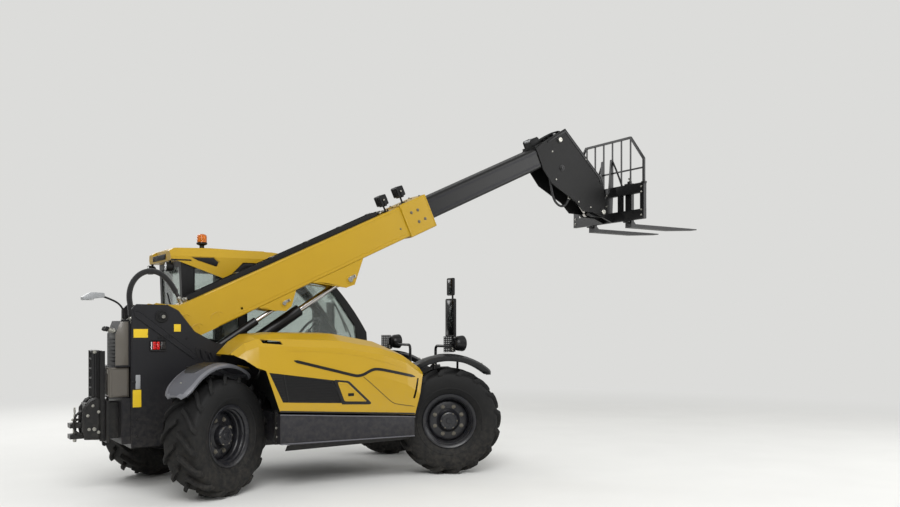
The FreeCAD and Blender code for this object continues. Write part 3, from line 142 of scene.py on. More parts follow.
def surface(name, base, spread, rough, grain_mm, grain_depth, metal=0.0, coat=0.0,
            dust=0.25, dust_top=0.95, patch_mm=260, gloss=0.5, liner=None):
    """A painted, moulded or cast surface: colour patches, wear marks, a fine grain and dust low down.
    With a liner colour, low faces that look back are masked off and sprayed in it."""
    made, tree, shader = new_material(name)
    coords = add(tree, "TexCoord", {})
    place = coords.outputs["Object"]
    patches = add(tree, "TexNoise", {"Scale": 1 / (patch_mm * MM), "Detail": 4.0}, [("Vector", place)])
    tone = add(tree, "Mix", {"data_type": "RGBA", 6: colour(base), 7: colour(spread)},
               [(0, patches.outputs["Fac"])])
    height = add(tree, "SeparateXYZ", {}, [("Vector", place)])
    low = add(tree, "MapRange", {"From Min": 0.05, "From Max": dust_top, "To Min": dust, "To Max": 0.0},
              [("Value", height.outputs["Z"])])
    specks = add(tree, "TexNoise", {"Scale": 1 / (38 * MM), "Detail": 6.0, "Roughness": 0.65},
                 [("Vector", place)])
    settled = add(tree, "MapRange", {"From Min": 0.38, "From Max": 0.72}, [("Value", specks.outputs["Fac"])])
    film = add(tree, "Math", {"operation": "MULTIPLY"},
               [(0, low.outputs["Result"]), (1, settled.outputs["Result"])])
    dusty = add(tree, "Mix", {"data_type": "RGBA", 7: colour("7D766B")},
                [(0, film.outputs[0]), (6, tone.outputs[2])])
    coat_colour = dusty.outputs[2]
    if liner:
        facing_back = add(tree, "SeparateXYZ", {}, [("Vector", coords.outputs["Normal"])])
        turned_back = add(tree, "MapRange", {"From Min": -0.30, "From Max": -0.34},
                          [("Value", facing_back.outputs["X"])])
        below = add(tree, "MapRange", {"From Min": 1.05, "From Max": 1.02}, [("Value", height.outputs["Z"])])
        masked = add(tree, "Math", {"operation": "MULTIPLY"},
                     [(0, turned_back.outputs["Result"]), (1, below.outputs["Result"])])
        lined = add(tree, "Mix", {"data_type": "RGBA", 7: colour(liner)},
                    [(0, masked.outputs[0]), (6, coat_colour)])
        coat_colour = lined.outputs[2]
    tree.links.new(coat_colour, shader.inputs["Base Color"])
    # Hair scratches from wiping, 1 mm lines drawn 4 mm wide so that they show.
    wiped = add(tree, "Mapping", {"Scale": (1.0, 1.0, 0.12)}, [("Vector", place)])
    lines = add(tree, "TexNoise", {"Scale": 1 / (4 * MM), "Detail": 2.0}, [("Vector", wiped.outputs["Vector"])])
    marks = add(tree, "MapRange", {"From Min": 0.3, "From Max": 0.8, "To Min": rough - 0.05,
                                   "To Max": rough + 0.08}, [("Value", lines.outputs["Fac"])])
    dull = add(tree, "Math", {"operation": "ADD", "use_clamp": True},
               [(0, marks.outputs["Result"]), (1, film.outputs[0])])
    tree.links.new(dull.outputs[0], shader.inputs["Roughness"])
    grain = add(tree, "TexNoise", {"Scale": 1 / (grain_mm * MM), "Detail": 3.0}, [("Vector", place)])
    bump = add(tree, "Bump", {"Strength": grain_depth, "Distance": grain_mm * MM * 0.2},
               [("Height", grain.outputs["Fac"])])
    tree.links.new(bump.outputs["Normal"], shader.inputs["Normal"])
    shader.inputs["Metallic"].default_value = metal
    shader.inputs["Specular IOR Level"].default_value = gloss
    shader.inputs["Coat Weight"].default_value = coat
    shader.inputs["Coat Roughness"].default_value = 0.08
    return made


def clear_plastic(name, tint, through, ribs_mm=0.0):
    """Glass or a lamp cover: a faint haze, and moulded ribs where ribs_mm gives their spacing."""
    made, tree, shader = new_material(name)
    place = add(tree, "TexCoord", {}).outputs["Object"]
    haze = add(tree, "TexNoise", {"Scale": 1 / (90 * MM), "Detail": 5.0}, [("Vector", place)])
    soft = add(tree, "MapRange", {"To Min": 0.0, "To Max": 0.09}, [("Value", haze.outputs["Fac"])])
    tree.links.new(soft.outputs["Result"], shader.inputs["Roughness"])
    if ribs_mm:
        ribs = add(tree, "TexWave", {"bands_direction": "Z", "Scale": 0.314 / (ribs_mm * MM)}, [("Vector", place)])
        bump = add(tree, "Bump", {"Strength": 0.6, "Distance": 0.002}, [("Height", ribs.outputs["Fac"])])
        tree.links.new(bump.outputs["Normal"], shader.inputs["Normal"])
    shader.inputs["Base Color"].default_value = colour(tint)
    shader.inputs["Transmission Weight"].default_value = through
    shader.inputs["IOR"].default_value = 1.5
    return made


def woven_cloth(name, base, light_thread):
    """Seat fabric: threads crossing every 3 mm, drawn 6 mm apart so that they show."""
    made, tree, shader = new_material(name)
    place = add(tree, "TexCoord", {}).outputs["Object"]
    threads = [add(tree, "TexWave", {"bands_direction": way, "Scale": 0.314 / (6 * MM), "Distortion": 0.6},
                   [("Vector", place)]).outputs["Fac"] for way in ("X", "Y", "Z")]
    pair = add(tree, "Math", {"operation": "MULTIPLY"}, [(0, threads[0]), (1, threads[1])])
    weave = add(tree, "Math", {"operation": "ADD", "use_clamp": True}, [(0, pair.outputs[0]), (1, threads[2])])
    tone = add(tree, "Mix", {"data_type": "RGBA", 6: colour(base), 7: colour(light_thread)},
               [(0, weave.outputs[0])])
    tree.links.new(tone.outputs[2], shader.inputs["Base Color"])
    bump = add(tree, "Bump", {"Strength": 0.5, "Distance": 0.001}, [("Height", weave.outputs[0])])
    tree.links.new(bump.outputs["Normal"], shader.inputs["Normal"])
    shader.inputs["Roughness"].default_value = 0.9
    shader.inputs["Sheen Weight"].default_value = 0.3
    return made


# Sprayed enamel on steel and on moulded covers: glossy, a little orange-peel, dust low down.
yellow = surface("yellow_enamel", "AC8A08", "A58307", 0.36, 2.4, 0.08, coat=0.10, dust=0.30)
# Powder coat on plate: satin, fine grain, nearly black with a cold cast.
charcoal = surface("charcoal_powder_coat", "1A1A1D", "161619", 0.42, 1.6, 0.25, dust=0.2, gloss=0.28)
black = surface("black_enamel", "0E0E0F", "121213", 0.34, 2.0, 0.12, dust=0.2, gloss=0.35)
# Injection-moulded covers: matt, coarse spark-eroded grain.
plastic = surface("black_moulded_plastic", "0E0E0F", "121213", 0.52, 1.2, 0.35, dust=0.15, gloss=0.25)
fender_grey = surface("grey_fender_plastic", "4A4B51", "43444A", 0.50, 1.2, 0.30, dust=0.10)
# Lighter copy of the rear fender plastic for its lip: a painted highlight.
fender_lip_painted_highlight = surface("worn_fender_lip", "6A6B70", "616267", 0.42, 1.2, 0.20, dust=0.05)
# Darker copy of the same fender plastic for the front fenders and the sunk panels: painted shade.
fender_painted_shade = surface("dark_fender_plastic", "101113", "141517", 0.38, 1.2, 0.20, dust=0.06, gloss=0.4)
skirt_grey = surface("skirt_powder_coat", "222227", "1E1E23", 0.44, 1.4, 0.25, dust=0.22, gloss=0.3)
# Cured rubber: soft black, greyed on the lugs by use.
rubber = surface("cured_tyre_rubber", "111112", "191919", 0.66, 3.0, 0.45, dust=0.16, dust_top=0.75,
                 patch_mm=90, gloss=0.22)
rim_paint = surface("rim_enamel", "15161B", "191A1F", 0.30, 2.0, 0.12, coat=0.1, dust=0.12, gloss=0.4)
cast = surface("black_cast_iron", "0F0F10", "171718", 0.55, 4.0, 0.6, dust=0.3, gloss=0.3)
engine_metal = surface("engine_casting", "3A3B3D", "4A4A4A", 0.5, 5.0, 0.6, metal=0.6)
# Hard chrome on the rams: a near mirror with a faint haze.
chrome = surface("chromed_steel", "CFCBC6", "C4C0BC", 0.12, 6.0, 0.02, metal=1.0, dust=0.0)
zinc = surface("zinc_plated_steel", "A3A29C", "B0AEA6", 0.32, 3.0, 0.2, metal=1.0, dust=0.1)
# A dark yellow strip that paints the shade of the hood's crease.
hood_crease_painted_shade = surface("panel_gap_shadow", "5E4A0C", "55430A", 0.5, 2.4, 0.1, dust=0.1)
worn_steel = surface("rubbed_steel", "232327", "1C1C20", 0.34, 2.0, 0.15, metal=0.3, dust=0.05, gloss=0.3)
mirror_face = surface("silvered_glass", "0B0C0D", "0E0F10", 0.10, 9.0, 0.0, dust=0.0)
hose_rubber = surface("braided_hose_rubber", "161617", "1E1E20", 0.48, 2.0, 0.3, dust=0.0)
# Polyester film labels without print.
label_yellow = surface("yellow_label_film", "D3B21C", "CCAA18", 0.38, 3.0, 0.04, dust=0.1)
reflector = surface("white_reflector", "E6E8EA", "DCDFE2", 0.30, 3.0, 0.3, dust=0.1)
pale_plastic = surface("pale_moulded_plastic", "8C8E90", "808284", 0.35, 1.2, 0.1, dust=0.05)
# Lighter copy of the skirt finish for its top line and fold: painted highlights on the edges.
skirt_painted_highlight = surface("worn_skirt_edge", "5A5A60", "505056", 0.40, 1.4, 0.2, dust=0.1)
box_grey = surface("brown_grey_enamel", "57524B", "4E4A44", 0.36, 2.0, 0.12, coat=0.2, dust=0.1)
cloth = woven_cloth("seat_cloth", "232327", "3A3A40")
woven_guard = woven_cloth("woven_hose_guard", "070708", "101012")
tinted = clear_plastic("tinted_glass", "DCE4E0", 0.94)
lens = clear_plastic("lamp_lens", "F2F4F5", 0.70, ribs_mm=9.0)
smoked_lens = clear_plastic("smoked_lamp_lens", "2A2624", 0.35, ribs_mm=9.0)
red_lens = clear_plastic("red_lamp_lens", "D0120F", 0.35, ribs_mm=7.0)
amber_lens = clear_plastic("amber_beacon_lens", "D9761A", 0.45, ribs_mm=8.0)

BY_SLOT = {"yellow_paint": yellow, "charcoal_paint": charcoal, "black_paint": black,
           "black_plastic": plastic, "grey_plastic": skirt_grey, "glass": tinted,
           "tyre": rubber, "rim_paint": rim_paint, "cast_black": cast, "chrome": chrome,
           "seat_cloth": cloth, "lamp_glass": lens, "hose_rubber": hose_rubber,
           "engine_metal": engine_metal}
slide_black = surface("slide_dry_film", "090909", "0D0D0D", 0.40, 3.0, 0.08, dust=0.06, gloss=0.22)
head_black = surface("head_powder_coat", "111111", "0D0D0D", 0.44, 1.6, 0.25, dust=0.15, gloss=0.22)
dull_bolt = surface("painted_bolt", "6C675C", "5C584E", 0.5, 2.0, 0.2, dust=0.2)
hood_enamel = surface("hood_enamel_with_arch_liner", "AC8A08", "A58307", 0.36, 2.4, 0.08, coat=0.10,
                      dust=0.30, liner="0F0F10")
# The front fenders take the darker copy of the fender plastic: painted shade.
OWN_FINISH = {"engine_hood": hood_enamel, "extension": slide_black, "boom_head": head_black,
              "fender_rear_right": fender_grey, "fender_rear_left": fender_grey,
              "fender_front_right": fender_painted_shade, "fender_front_left": fender_painted_shade}

for row in frame["record"]["subparts"]:
    ob = NODES[row["node"]]
    if not ob.material_slots:
        ob.data.materials.append(None)
    for used in ob.material_slots:
        used.material = OWN_FINISH.get(row["node"], BY_SLOT[row["material_slot"]])

# ---------------------------------------------------------------- ways to make a piece


def only(ob):
    """Leaves one object picked and active."""
    bpy.ops.object.select_all(action="DESELECT")
    ob.select_set(True)
    bpy.context.view_layer.objects.active = ob


def named(name):
    """Names the new object and puts its place into its mesh."""
    ob = bpy.context.object
    ob.name = name
    ob.data.name = name
    bpy.ops.object.transform_apply(location=True, rotation=True, scale=True)
    return ob


def block(name, low, high):
    low, high = Vector(low) * MM, Vector(high) * MM
    bpy.ops.object.select_all(action="DESELECT")
    bpy.ops.mesh.primitive_cube_add(size=1.0, location=(low + high) / 2, scale=high - low)
    return named(name)


def drum(name, start, end, radius, sides=28, far_radius=None):
    a, b = Vector(start) * MM, Vector(end) * MM
    far = radius if far_radius is None else far_radius
    bpy.ops.object.select_all(action="DESELECT")
    bpy.ops.mesh.primitive_cone_add(vertices=sides, radius1=radius * MM, radius2=far * MM, depth=(b - a).length,
                                    location=(a + b) / 2, rotation=(b - a).to_track_quat("Z", "Y").to_euler())
    return named(name)


def turned(name, rows, sides):
    """A shape turned about Z: rows are radius and height, drawn out ring by ring."""
    bpy.ops.object.select_all(action="DESELECT")
    bpy.ops.mesh.primitive_circle_add(vertices=sides, radius=rows[0][0] * MM, fill_type="NOTHING",
                                      location=(0, 0, rows[0][1] * MM))
    ob = named(name)
    only(ob)
    bpy.ops.object.mode_set(mode="EDIT")
    bpy.ops.mesh.select_mode(type="EDGE")
    bpy.ops.mesh.select_all(action="SELECT")
    for (ra, za), (rb, zb) in zip(rows, rows[1:]):
        bpy.ops.mesh.extrude_region_move(TRANSFORM_OT_translate={"value": (0, 0, (zb - za) * MM)})
        bpy.ops.transform.resize(value=(rb / ra, rb / ra, 1), center_override=(0, 0, zb * MM))
    bpy.ops.mesh.select_all(action="SELECT")
    bpy.ops.mesh.remove_doubles(threshold=0.9 * MM)
    bpy.ops.mesh.normals_make_consistent(inside=False)
    bpy.ops.object.mode_set(mode="OBJECT")
    return ob


def pick(ob, kind, test):
    """Opens the mesh for editing with only the faces, edges or corners that pass the test picked."""
    only(ob)
    bpy.ops.object.mode_set(mode="EDIT")
    bpy.ops.mesh.select_mode(type=kind)
    bpy.ops.mesh.select_all(action="DESELECT")
    mesh = bmesh.from_edit_mesh(ob.data)
    for row in {"FACE": mesh.faces, "EDGE": mesh.edges, "VERT": mesh.verts}[kind]:
        if test(row):
            row.select_set(True)
    bmesh.update_edit_mesh(ob.data)


def facing(*way):
    toward = Vector(way).normalized()
    return lambda face: face.normal.dot(toward) > 0.9


def close():
    bpy.ops.object.mode_set(mode="OBJECT")


def frame_face(ob, way, rim, depth):
    """Insets the faces that look one way, and sinks them where depth is negative."""
    pick(ob, "FACE", facing(*way))
    bpy.ops.mesh.inset(thickness=rim * MM, depth=depth * MM)
    close()


def taper_face(ob, way, scale):
    pick(ob, "FACE", facing(*way))
    bpy.ops.transform.resize(value=scale)
    close()


def soften(ob, width, segments=2):
    only(ob)
    edge = ob.modifiers.new("edge", "BEVEL")
    edge.width = width * MM
    edge.segments = segments
    edge.limit_method = "ANGLE"
    edge.angle_limit = math.radians(35)
    bpy.ops.object.modifier_apply(modifier="edge")


def slice_at(ob, point, normal, keep_below=False):
    """Cuts a line of edges round the piece, and takes off what lies past it where asked."""
    pick(ob, "FACE", lambda face: True)
    bpy.ops.mesh.bisect(plane_co=Vector(point) * MM, plane_no=normal, use_fill=keep_below, clear_outer=keep_below)
    close()


def panel(name, outline, y0, y1):
    """A flat piece with its outline in X and Z, from one Y to the other."""
    bpy.ops.object.select_all(action="DESELECT")
    bpy.ops.mesh.primitive_circle_add(vertices=len(outline), radius=1.0, fill_type="NGON")
    ob = named(name)
    for corner, (x, z) in zip(ob.data.vertices, outline):
        corner.co = Vector((x, y0, z)) * MM
    pick(ob, "FACE", lambda face: True)
    bpy.ops.mesh.extrude_region_move(TRANSFORM_OT_translate={"value": (0, (y1 - y0) * MM, 0)})
    bpy.ops.mesh.select_all(action="SELECT")
    bpy.ops.mesh.normals_make_consistent(inside=False)
    close()
    return ob


def sheet_with_holes(name, x0, x1, z0, z1, y, cells, rim, thick):
    """A perforated sheet: a grid whose cells are inset and opened, then given its thickness."""
    bpy.ops.object.select_all(action="DESELECT")
    bpy.ops.mesh.primitive_grid_add(x_subdivisions=cells[0], y_subdivisions=cells[1], size=1.0,
                                    location=((x0 + x1) / 2 * MM, y * MM, (z0 + z1) / 2 * MM),
                                    rotation=(math.radians(90), 0, 0))
    bpy.context.object.scale = ((x1 - x0) * MM, (z1 - z0) * MM, 1)
    ob = named(name)
    pick(ob, "FACE", lambda face: True)
    bpy.ops.mesh.inset(thickness=rim * MM, use_individual=True)
    bpy.ops.mesh.delete(type="FACE")
    close()
    wall = ob.modifiers.new("wall", "SOLIDIFY")
    wall.thickness = thick * MM
    bpy.ops.object.modifier_apply(modifier="wall")
    return ob


def pipe(name, points, radius, sides=4):
    """A rigid pipe through points, its bends rounded."""
    data = bpy.data.curves.new(name, "CURVE")
    data.dimensions = "3D"
    run = data.splines.new("NURBS")
    run.points.add(len(points) - 1)
    for knot, place in zip(run.points, points):
        knot.co = (*(Vector(place) * MM), 1.0)
    run.order_u = 3
    run.use_endpoint_u = True
    data.bevel_depth = radius * MM
    data.bevel_resolution = sides
    data.use_fill_caps = True
    ob = bpy.data.objects.new(name, data)
    scene.collection.objects.link(ob)
    only(ob)
    bpy.ops.object.convert(target="MESH")
    return bpy.context.object


def join(name, parts):
    bpy.ops.object.select_all(action="DESELECT")
    for part in parts:
        part.select_set(True)
    bpy.context.view_layer.objects.active = parts[0]
    bpy.ops.object.transform_apply(location=True, rotation=True, scale=True)
    if len(parts) > 1:
        bpy.ops.object.join()
    ob = bpy.context.object
    ob.name = name
    ob.data.name = name
    return ob


def copy_of(ob, place):
    """A copy with its own mesh, put where place says."""
    twin = ob.copy()
    twin.data = ob.data.copy()
    scene.collection.objects.link(twin)
    twin.matrix_world = place
    return twin


def aim(x, y, z, way, size=1.0):
    """Where a piece that stands on Z goes, and the way that it then points."""
    turn = Vector(way).to_track_quat("Z", "Y").to_matrix().to_4x4()
    return Matrix.Translation(Vector((x, y, z)) * MM) @ turn @ Matrix.Scale(size, 4)


def done(ob, body, finish, place=MACHINE, corner=32):
    """Puts a finished piece in its place, smooths it and tells the frame what it rides on."""
    only(ob)
    ob.matrix_world = place
    bpy.ops.object.transform_apply(location=True, rotation=True, scale=True)
    bpy.ops.object.shade_smooth_by_angle(angle=math.radians(corner))
    ob.data.materials.clear()
    ob.data.materials.append(finish)
    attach(ob, body)
    return ob


def mirrored(ob):
    """A copy on the other side of the machine's middle, its faces put right."""
    twin = copy_of(ob, Matrix.Scale(-1, 4, (0, 1, 0)))
    only(twin)
    bpy.ops.object.transform_apply(location=True, rotation=True, scale=True)
    pick(twin, "FACE", lambda face: True)
    bpy.ops.mesh.normals_make_consistent(inside=False)
    close()
    return twin


# ---------------------------------------------------------------- hoses

# Control points of the two hoses' splines, on the machine.
LOOP_ROUTE = [(-449.0, -90, 1420.3), (-449.0, -90, 1540.0), (-467.8, -90, 1659.3), (-441.2, -90, 1766.0),
              (-376.9, -90, 1842.6), (-292.3, -90, 1873.4), (-204.3, -90, 1854.7), (-131.5, -90, 1789.1),
              (-70.6, -90, 1691.6), (-26.2, -90, 1596.4)]
LOOP_R = 16
HEAD_ROUTE = [(3967, -152, 3173.6), (4007, -152, 3087), (4034, -152, 2983), (4052, -152, 2876),
              (4092, -152, 2779), (4180, -152, 2727), (4268, -152, 2764), (4306, -152, 2862)]
HEAD_HOSE_R = 13


def hose(name, route, radius):
    """A hose as a tube round one smooth spline, with the points that it follows."""
    data = bpy.data.curves.new(name, "CURVE")
    data.dimensions = "3D"
    data.resolution_u = 20
    run = data.splines.new("NURBS")
    run.points.add(len(route) - 1)
    for knot, place in zip(run.points, route):
        knot.co = (*spot(*place), 1.0)
    run.order_u = 3
    run.use_endpoint_u = True
    line = bpy.data.objects.new(name, data)
    scene.collection.objects.link(line)
    path = [corner.co.copy() for corner in bpy.data.meshes.new_from_object(line).vertices]
    data.bevel_depth = radius * MM
    data.bevel_resolution = 8
    data.use_fill_caps = True
    only(line)
    bpy.ops.object.convert(target="MESH")
    return bpy.context.object, path


def ferrule(name, at, way, radius, long):
    """A crimped sleeve with its swivel nut, standing on Z at the hose's end."""
    r = radius
    sleeve = turned(name, [(0.4, 0), (r + 3, 0), (r + 5, 2), (r + 5, 9), (r + 3.5, 11), (r + 5, 14), (r + 5, 21),
                           (r + 3.5, 23), (r + 5, 26), (r + 5, long - 14), (r + 1.2, long), (0.4, long)], 28)
    nut = drum(name + "_nut", (0, 0, -16), (0, 0, 1), r + 8, 6)
    soften(nut, 1.5)
    return [copy_away(part, aim(*at, way)) for part in (sleeve, nut)]


def copy_away(ob, place):
    ob.matrix_world = place
    only(ob)
    bpy.ops.object.transform_apply(location=True, rotation=True, scale=True)
    return ob


SLEEVE_R = 24


def sleeve_round(name, path, radius):
    """The woven guard that the loop runs in."""
    data = bpy.data.curves.new(name, "CURVE")
    data.dimensions = "3D"
    run = data.splines.new("POLY")
    run.points.add(len(path) - 1)
    for i, (knot, place) in enumerate(zip(run.points, path)):
        knot.co = (*place, 1.0)
        knot.radius = 0.75 if i in (0, len(path) - 1) else 1.0
    data.bevel_depth = radius * MM
    data.bevel_resolution = 8
    data.use_fill_caps = True
    ob = bpy.data.objects.new(name, data)
    scene.collection.objects.link(ob)
    only(ob)
    bpy.ops.object.convert(target="MESH")
    ob = bpy.context.object
    bpy.ops.object.shade_smooth_by_angle(angle=math.radians(40))
    ob.data.materials.append(woven_guard)
    return ob


def make_hoses():
    loop, path = hose("hose_loop_tube", LOOP_ROUTE, LOOP_R)
    only(loop)
    bpy.ops.object.shade_smooth()
    loop.data.materials.append(hose_rubber)
    foot = join("hose_loop_foot", ferrule("hose_loop_foot", (-449, -90, 1421), (0, 0, 1), LOOP_R, 52))
    done(foot, "chassis", zinc)
    end_way = Vector(path[-2]) - Vector(path[-1])
    tip = join("hose_loop_tip", ferrule("hose_loop_tip", (-30, -90, 1604), tuple(end_way), LOOP_R, 52))
    done(tip, "boom", zinc)
    sleeve = sleeve_round("hose_loop_sleeve", path[6:-12], SLEEVE_R)
    for piece in (loop, sleeve):
        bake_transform(piece)
    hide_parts("hose_loop")

    dropped, path = hose("head_hose_tube", HEAD_ROUTE, HEAD_HOSE_R)
    done(dropped, "extension", hose_rubber, Matrix())
    ends = ferrule("head_hose_ends", (3968, -152, 3171), (40, 0, -87), HEAD_HOSE_R, 46)
    ends += ferrule("head_hose_ends", (4307, -152, 2866), (-30, 0, -92), HEAD_HOSE_R, 46)
    ends = done(join("head_hose_ends", ends), "extension", zinc)
    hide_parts("head_hose")


make_hoses()

# ---------------------------------------------------------------- wheels

WHEEL_SIDE = Matrix.Rotation(math.radians(-90), 4, "X")
# Tyre section from bead to crown: radius, half width there.
TYRE_HALF = [(229.3, 123.7), (257.5, 129.7), (275, 148), (305, 163), (345, 170), (385, 170), (420, 166),
             (440, 158), (452, 146), (457, 120), (461, 60), (462, 0)]
LUGS_A_SIDE = 16
# Tread bar, from the tread's middle outwards: across, along, and how far its top drops.
LUG_STATIONS = [(12, 66, 2), (44, 46, 0), (78, 14, 0), (112, -28, 2), (144, -70, 9), (166, -94, 44)]
LUG_WIDTH = 50
TREAD_R = 498


def tread_bar():
    """One curved bar at the top of the wheel, leading at the tread's middle."""
    first, last = LUG_STATIONS[0][0], LUG_STATIONS[-1][0]
    bar = block("tread_bar", (-LUG_WIDTH / 2, first, 432), (LUG_WIDTH / 2, last, TREAD_R))
    for across, _, _ in LUG_STATIONS[1:-1]:
        slice_at(bar, (0, across, 0), (0, 1, 0))
    for across, along, drop in LUG_STATIONS:
        at_station = lambda corner: abs(corner.co.y - across * MM) < 1e-4
        fall = TREAD_R - math.sqrt(TREAD_R ** 2 - along ** 2)
        pick(bar, "VERT", at_station)
        bpy.ops.transform.translate(value=(along * MM, 0, -fall * MM))
        close()
        pick(bar, "VERT", lambda corner: at_station(corner) and corner.co.z > 0.445)
        bpy.ops.transform.translate(value=(0, 0, -drop * MM))
        bpy.ops.transform.resize(value=(0.80, 1, 1), center_override=(along * MM, across * MM, 0))
        close()
    soften(bar, 5)
    return bar


def make_tyres():
    half = TYRE_HALF
    rows = [(r, y) for r, y in half] + [(r, -y) for r, y in reversed(half[:-1])] + half[:1]
    carcass = turned("carcass", rows, 84)
    parts = [copy_away(carcass, WHEEL_SIDE)]
    ring = turned("bead_ring", [(300, 160), (306, 166.5), (312, 168), (318, 166.5), (322, 160), (300, 160)], 84)
    parts += [copy_of(ring, WHEEL_SIDE), copy_away(ring, WHEEL_SIDE @ Matrix.Rotation(math.pi, 4, "X"))]
    near = tread_bar()
    far = mirrored(near)
    for i in range(LUGS_A_SIDE):
        for bar, step in ((far, i), (near, i + 0.5)):
            turn = 2 * math.pi * step / LUGS_A_SIDE - math.pi / 2
            parts.append(copy_of(bar, Matrix.Rotation(turn, 4, "Y")))
    bpy.data.objects.remove(near)
    bpy.data.objects.remove(far)
    master = join("tyre_master", parts)
    for corner in CORNERS:
        tyre = copy_of(master, Matrix())
        tyre.name = "lugged_tyre_" + corner
        done(tyre, "wheel_" + corner, rubber, wheel_place(corner), corner=40)
        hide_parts("tyre_" + corner)
    bpy.data.objects.remove(master)


# Rim: radius and Y, with its outer side towards -Y; then the disc with the planetary hub on it.
RIM_ROWS = [(229, 123.5), (229, -123.5), (244, -129), (256, -131), (257, -136), (252, -140), (243, -139),
            (235, -133), (227, -129), (221, -122), (219, -106), (211, -100), (208, -96), (206, -62),
            (199, -56), (197, -50), (196, 40), (206, 60), (208, 110), (222, 128), (240, 138), (252, 140),
            (257, 136), (256, 131), (229, 123.5)]
DISC_ROWS = [(0.4, 8), (190, 8), (197.5, 2), (197.5, -8), (188, -22), (170, -30), (112, -31), (107, -36),
             (98, -41), (90, -48), (87, -60), (86, -88), (80, -97), (68, -101), (64, -98), (30, -98),
             (27, -104), (0.4, -105)]
STUD_R = 137.5
STUD_COUNT = 8


def make_rims():
    rim = turned("rim_master", RIM_ROWS, 72)
    disc = turned("disc", DISC_ROWS, 48)
    parts = [copy_away(rim, WHEEL_SIDE), copy_away(disc, WHEEL_SIDE)]
    valve = drum("valve", (212, -98, 0), (196, -120, 0), 4.5, 12)
    soften(valve, 1)
    rim = join("rim_master", parts + [valve])
    places = []
    for i in range(STUD_COUNT):
        turn = 2 * math.pi * (i + 0.5) / STUD_COUNT
        places.append((STUD_R * math.cos(turn), -31, STUD_R * math.sin(turn), (0, -1, 0), 15))
    for i in range(6):
        turn = 2 * math.pi * i / 6
        places.append((74 * math.cos(turn), -97, 74 * math.sin(turn), (0, -1, 0), 6))
    nuts = bolts("nuts_master", places)
    for corner in CORNERS:
        place = wheel_place(corner)
        if corner.endswith("left"):
            place = place @ Matrix.Rotation(math.pi, 4, "Z")
        new_rim = copy_of(rim, Matrix())
        new_rim.name = "stepped_rim_" + corner
        done(new_rim, "wheel_" + corner, rim_paint, place)
        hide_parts("rim_" + corner)
        new_nuts = copy_of(nuts, Matrix())
        new_nuts.name = "wheel_nuts_" + corner
        done(new_nuts, "wheel_" + corner, dull_bolt, place)
    bpy.data.objects.remove(rim)
    bpy.data.objects.remove(nuts)


def bolt():
    """A hexagon bolt of 10 mm over its corners' radius, with its washer, standing on Z."""
    washer = turned("washer", [(0.4, -1), (13, -1), (13, 1.6), (12.2, 2.4), (0.4, 2.4)], 18)
    head = drum("head", (0, 0, 2), (0, 0, 8.5), 10, 6)
    soften(head, 1.2, 1)
    thread = turned("thread", [(0.4, 8), (5.4, 8), (5.4, 11), (4.4, 12.2), (0.4, 12.2)], 12)
    return join("bolt", [washer, head, thread])


BOLT = bolt()


def bolts(name, places):
    """Bolts at rows of x, y, z, the way each points, and its size in millimetres."""
    return join(name, [copy_of(BOLT, aim(x, y, z, way, size / 10)) for x, y, z, way, size in places])


make_tyres()
make_rims()

# ---------------------------------------------------------------- fenders

# Fender shell: outer radius, lip angles and the sunk panel's angles, in degrees round the axle.
FENDERS = {"front": (630, 50, 124, 72, 100), "rear": (600, 52, 143, 74, 119)}
FENDER_Y = (-272, -20)
FENDER_CROWN = 16
# How deep the wall at a fender's edge hangs.
WALL = {"front": 46, "rear": 24}
SUNK_Y = (-202, -56)
AXLE_Z = 500


def on_arc(radius, angle, y):
    turn = math.radians(angle)
    return (radius * math.cos(turn), y, AXLE_Z + radius * math.sin(turn))


def arc_sheet(name, radius, angles, ys, thick, ends, crown=0.0):
    """A curved plate on the fender, thickened outwards, its ends rounded over a share of its length."""
    steps, rows = 36, 8
    bpy.ops.object.select_all(action="DESELECT")
    bpy.ops.mesh.primitive_grid_add(x_subdivisions=steps, y_subdivisions=rows, size=1.0)
    ob = named(name)
    for corner in ob.data.vertices:
        along = 0.5 - corner.co.x
        across = corner.co.y * 2
        reach = min(along, 1 - along) / ends
        ease = 0.45 + 0.55 * math.sqrt(1 - (1 - min(1.0, reach)) ** 2)
        y = (ys[0] + ys[1]) / 2 + across * ease * (ys[1] - ys[0]) / 2
        fall = crown * (across * across * 0.6 + max(0.0, abs(across) - 0.7) * 2)
        corner.co = Vector(on_arc(radius - fall, angles[0] + along * (angles[1] - angles[0]), y)) * MM
    wall = ob.modifiers.new("wall", "SOLIDIFY")
    wall.thickness = thick * MM
    wall.offset = 1.0
    only(ob)
    bpy.ops.object.modifier_apply(modifier="wall")
    pick(ob, "FACE", lambda face: True)
    bpy.ops.mesh.normals_make_consistent(inside=False)
    close()
    return ob


def fender_place(corner, way):
    """The kingpin on the ground, turned with the wheel."""
    spin = JOINTS["spin_" + corner]
    axis = Vector(spin["axis"]).normalized()
    if axis.y < 0:
        axis = -axis
    kingpin = Vector(spin["pos_m"]) - axis * way * 170 * MM
    turn = Matrix.Rotation(math.atan2(-axis.x, axis.y), 4, "Z")
    return Matrix.Translation((kingpin.x, kingpin.y, 0)) @ turn


def fender_stays(radius):
    stays = []
    for x in (-120, 120):
        top = AXLE_Z + math.sqrt(radius ** 2 - x ** 2) - 12
        leg = block("leg", (x - 10, 16, AXLE_Z + 84), (x + 10, 40, top - 4))
        arm = block("arm", (x - 10, -120, top - 34), (x + 10, 40, top))
        stays += [leg, arm]
    for part in stays:
        soften(part, 4)
    return stays


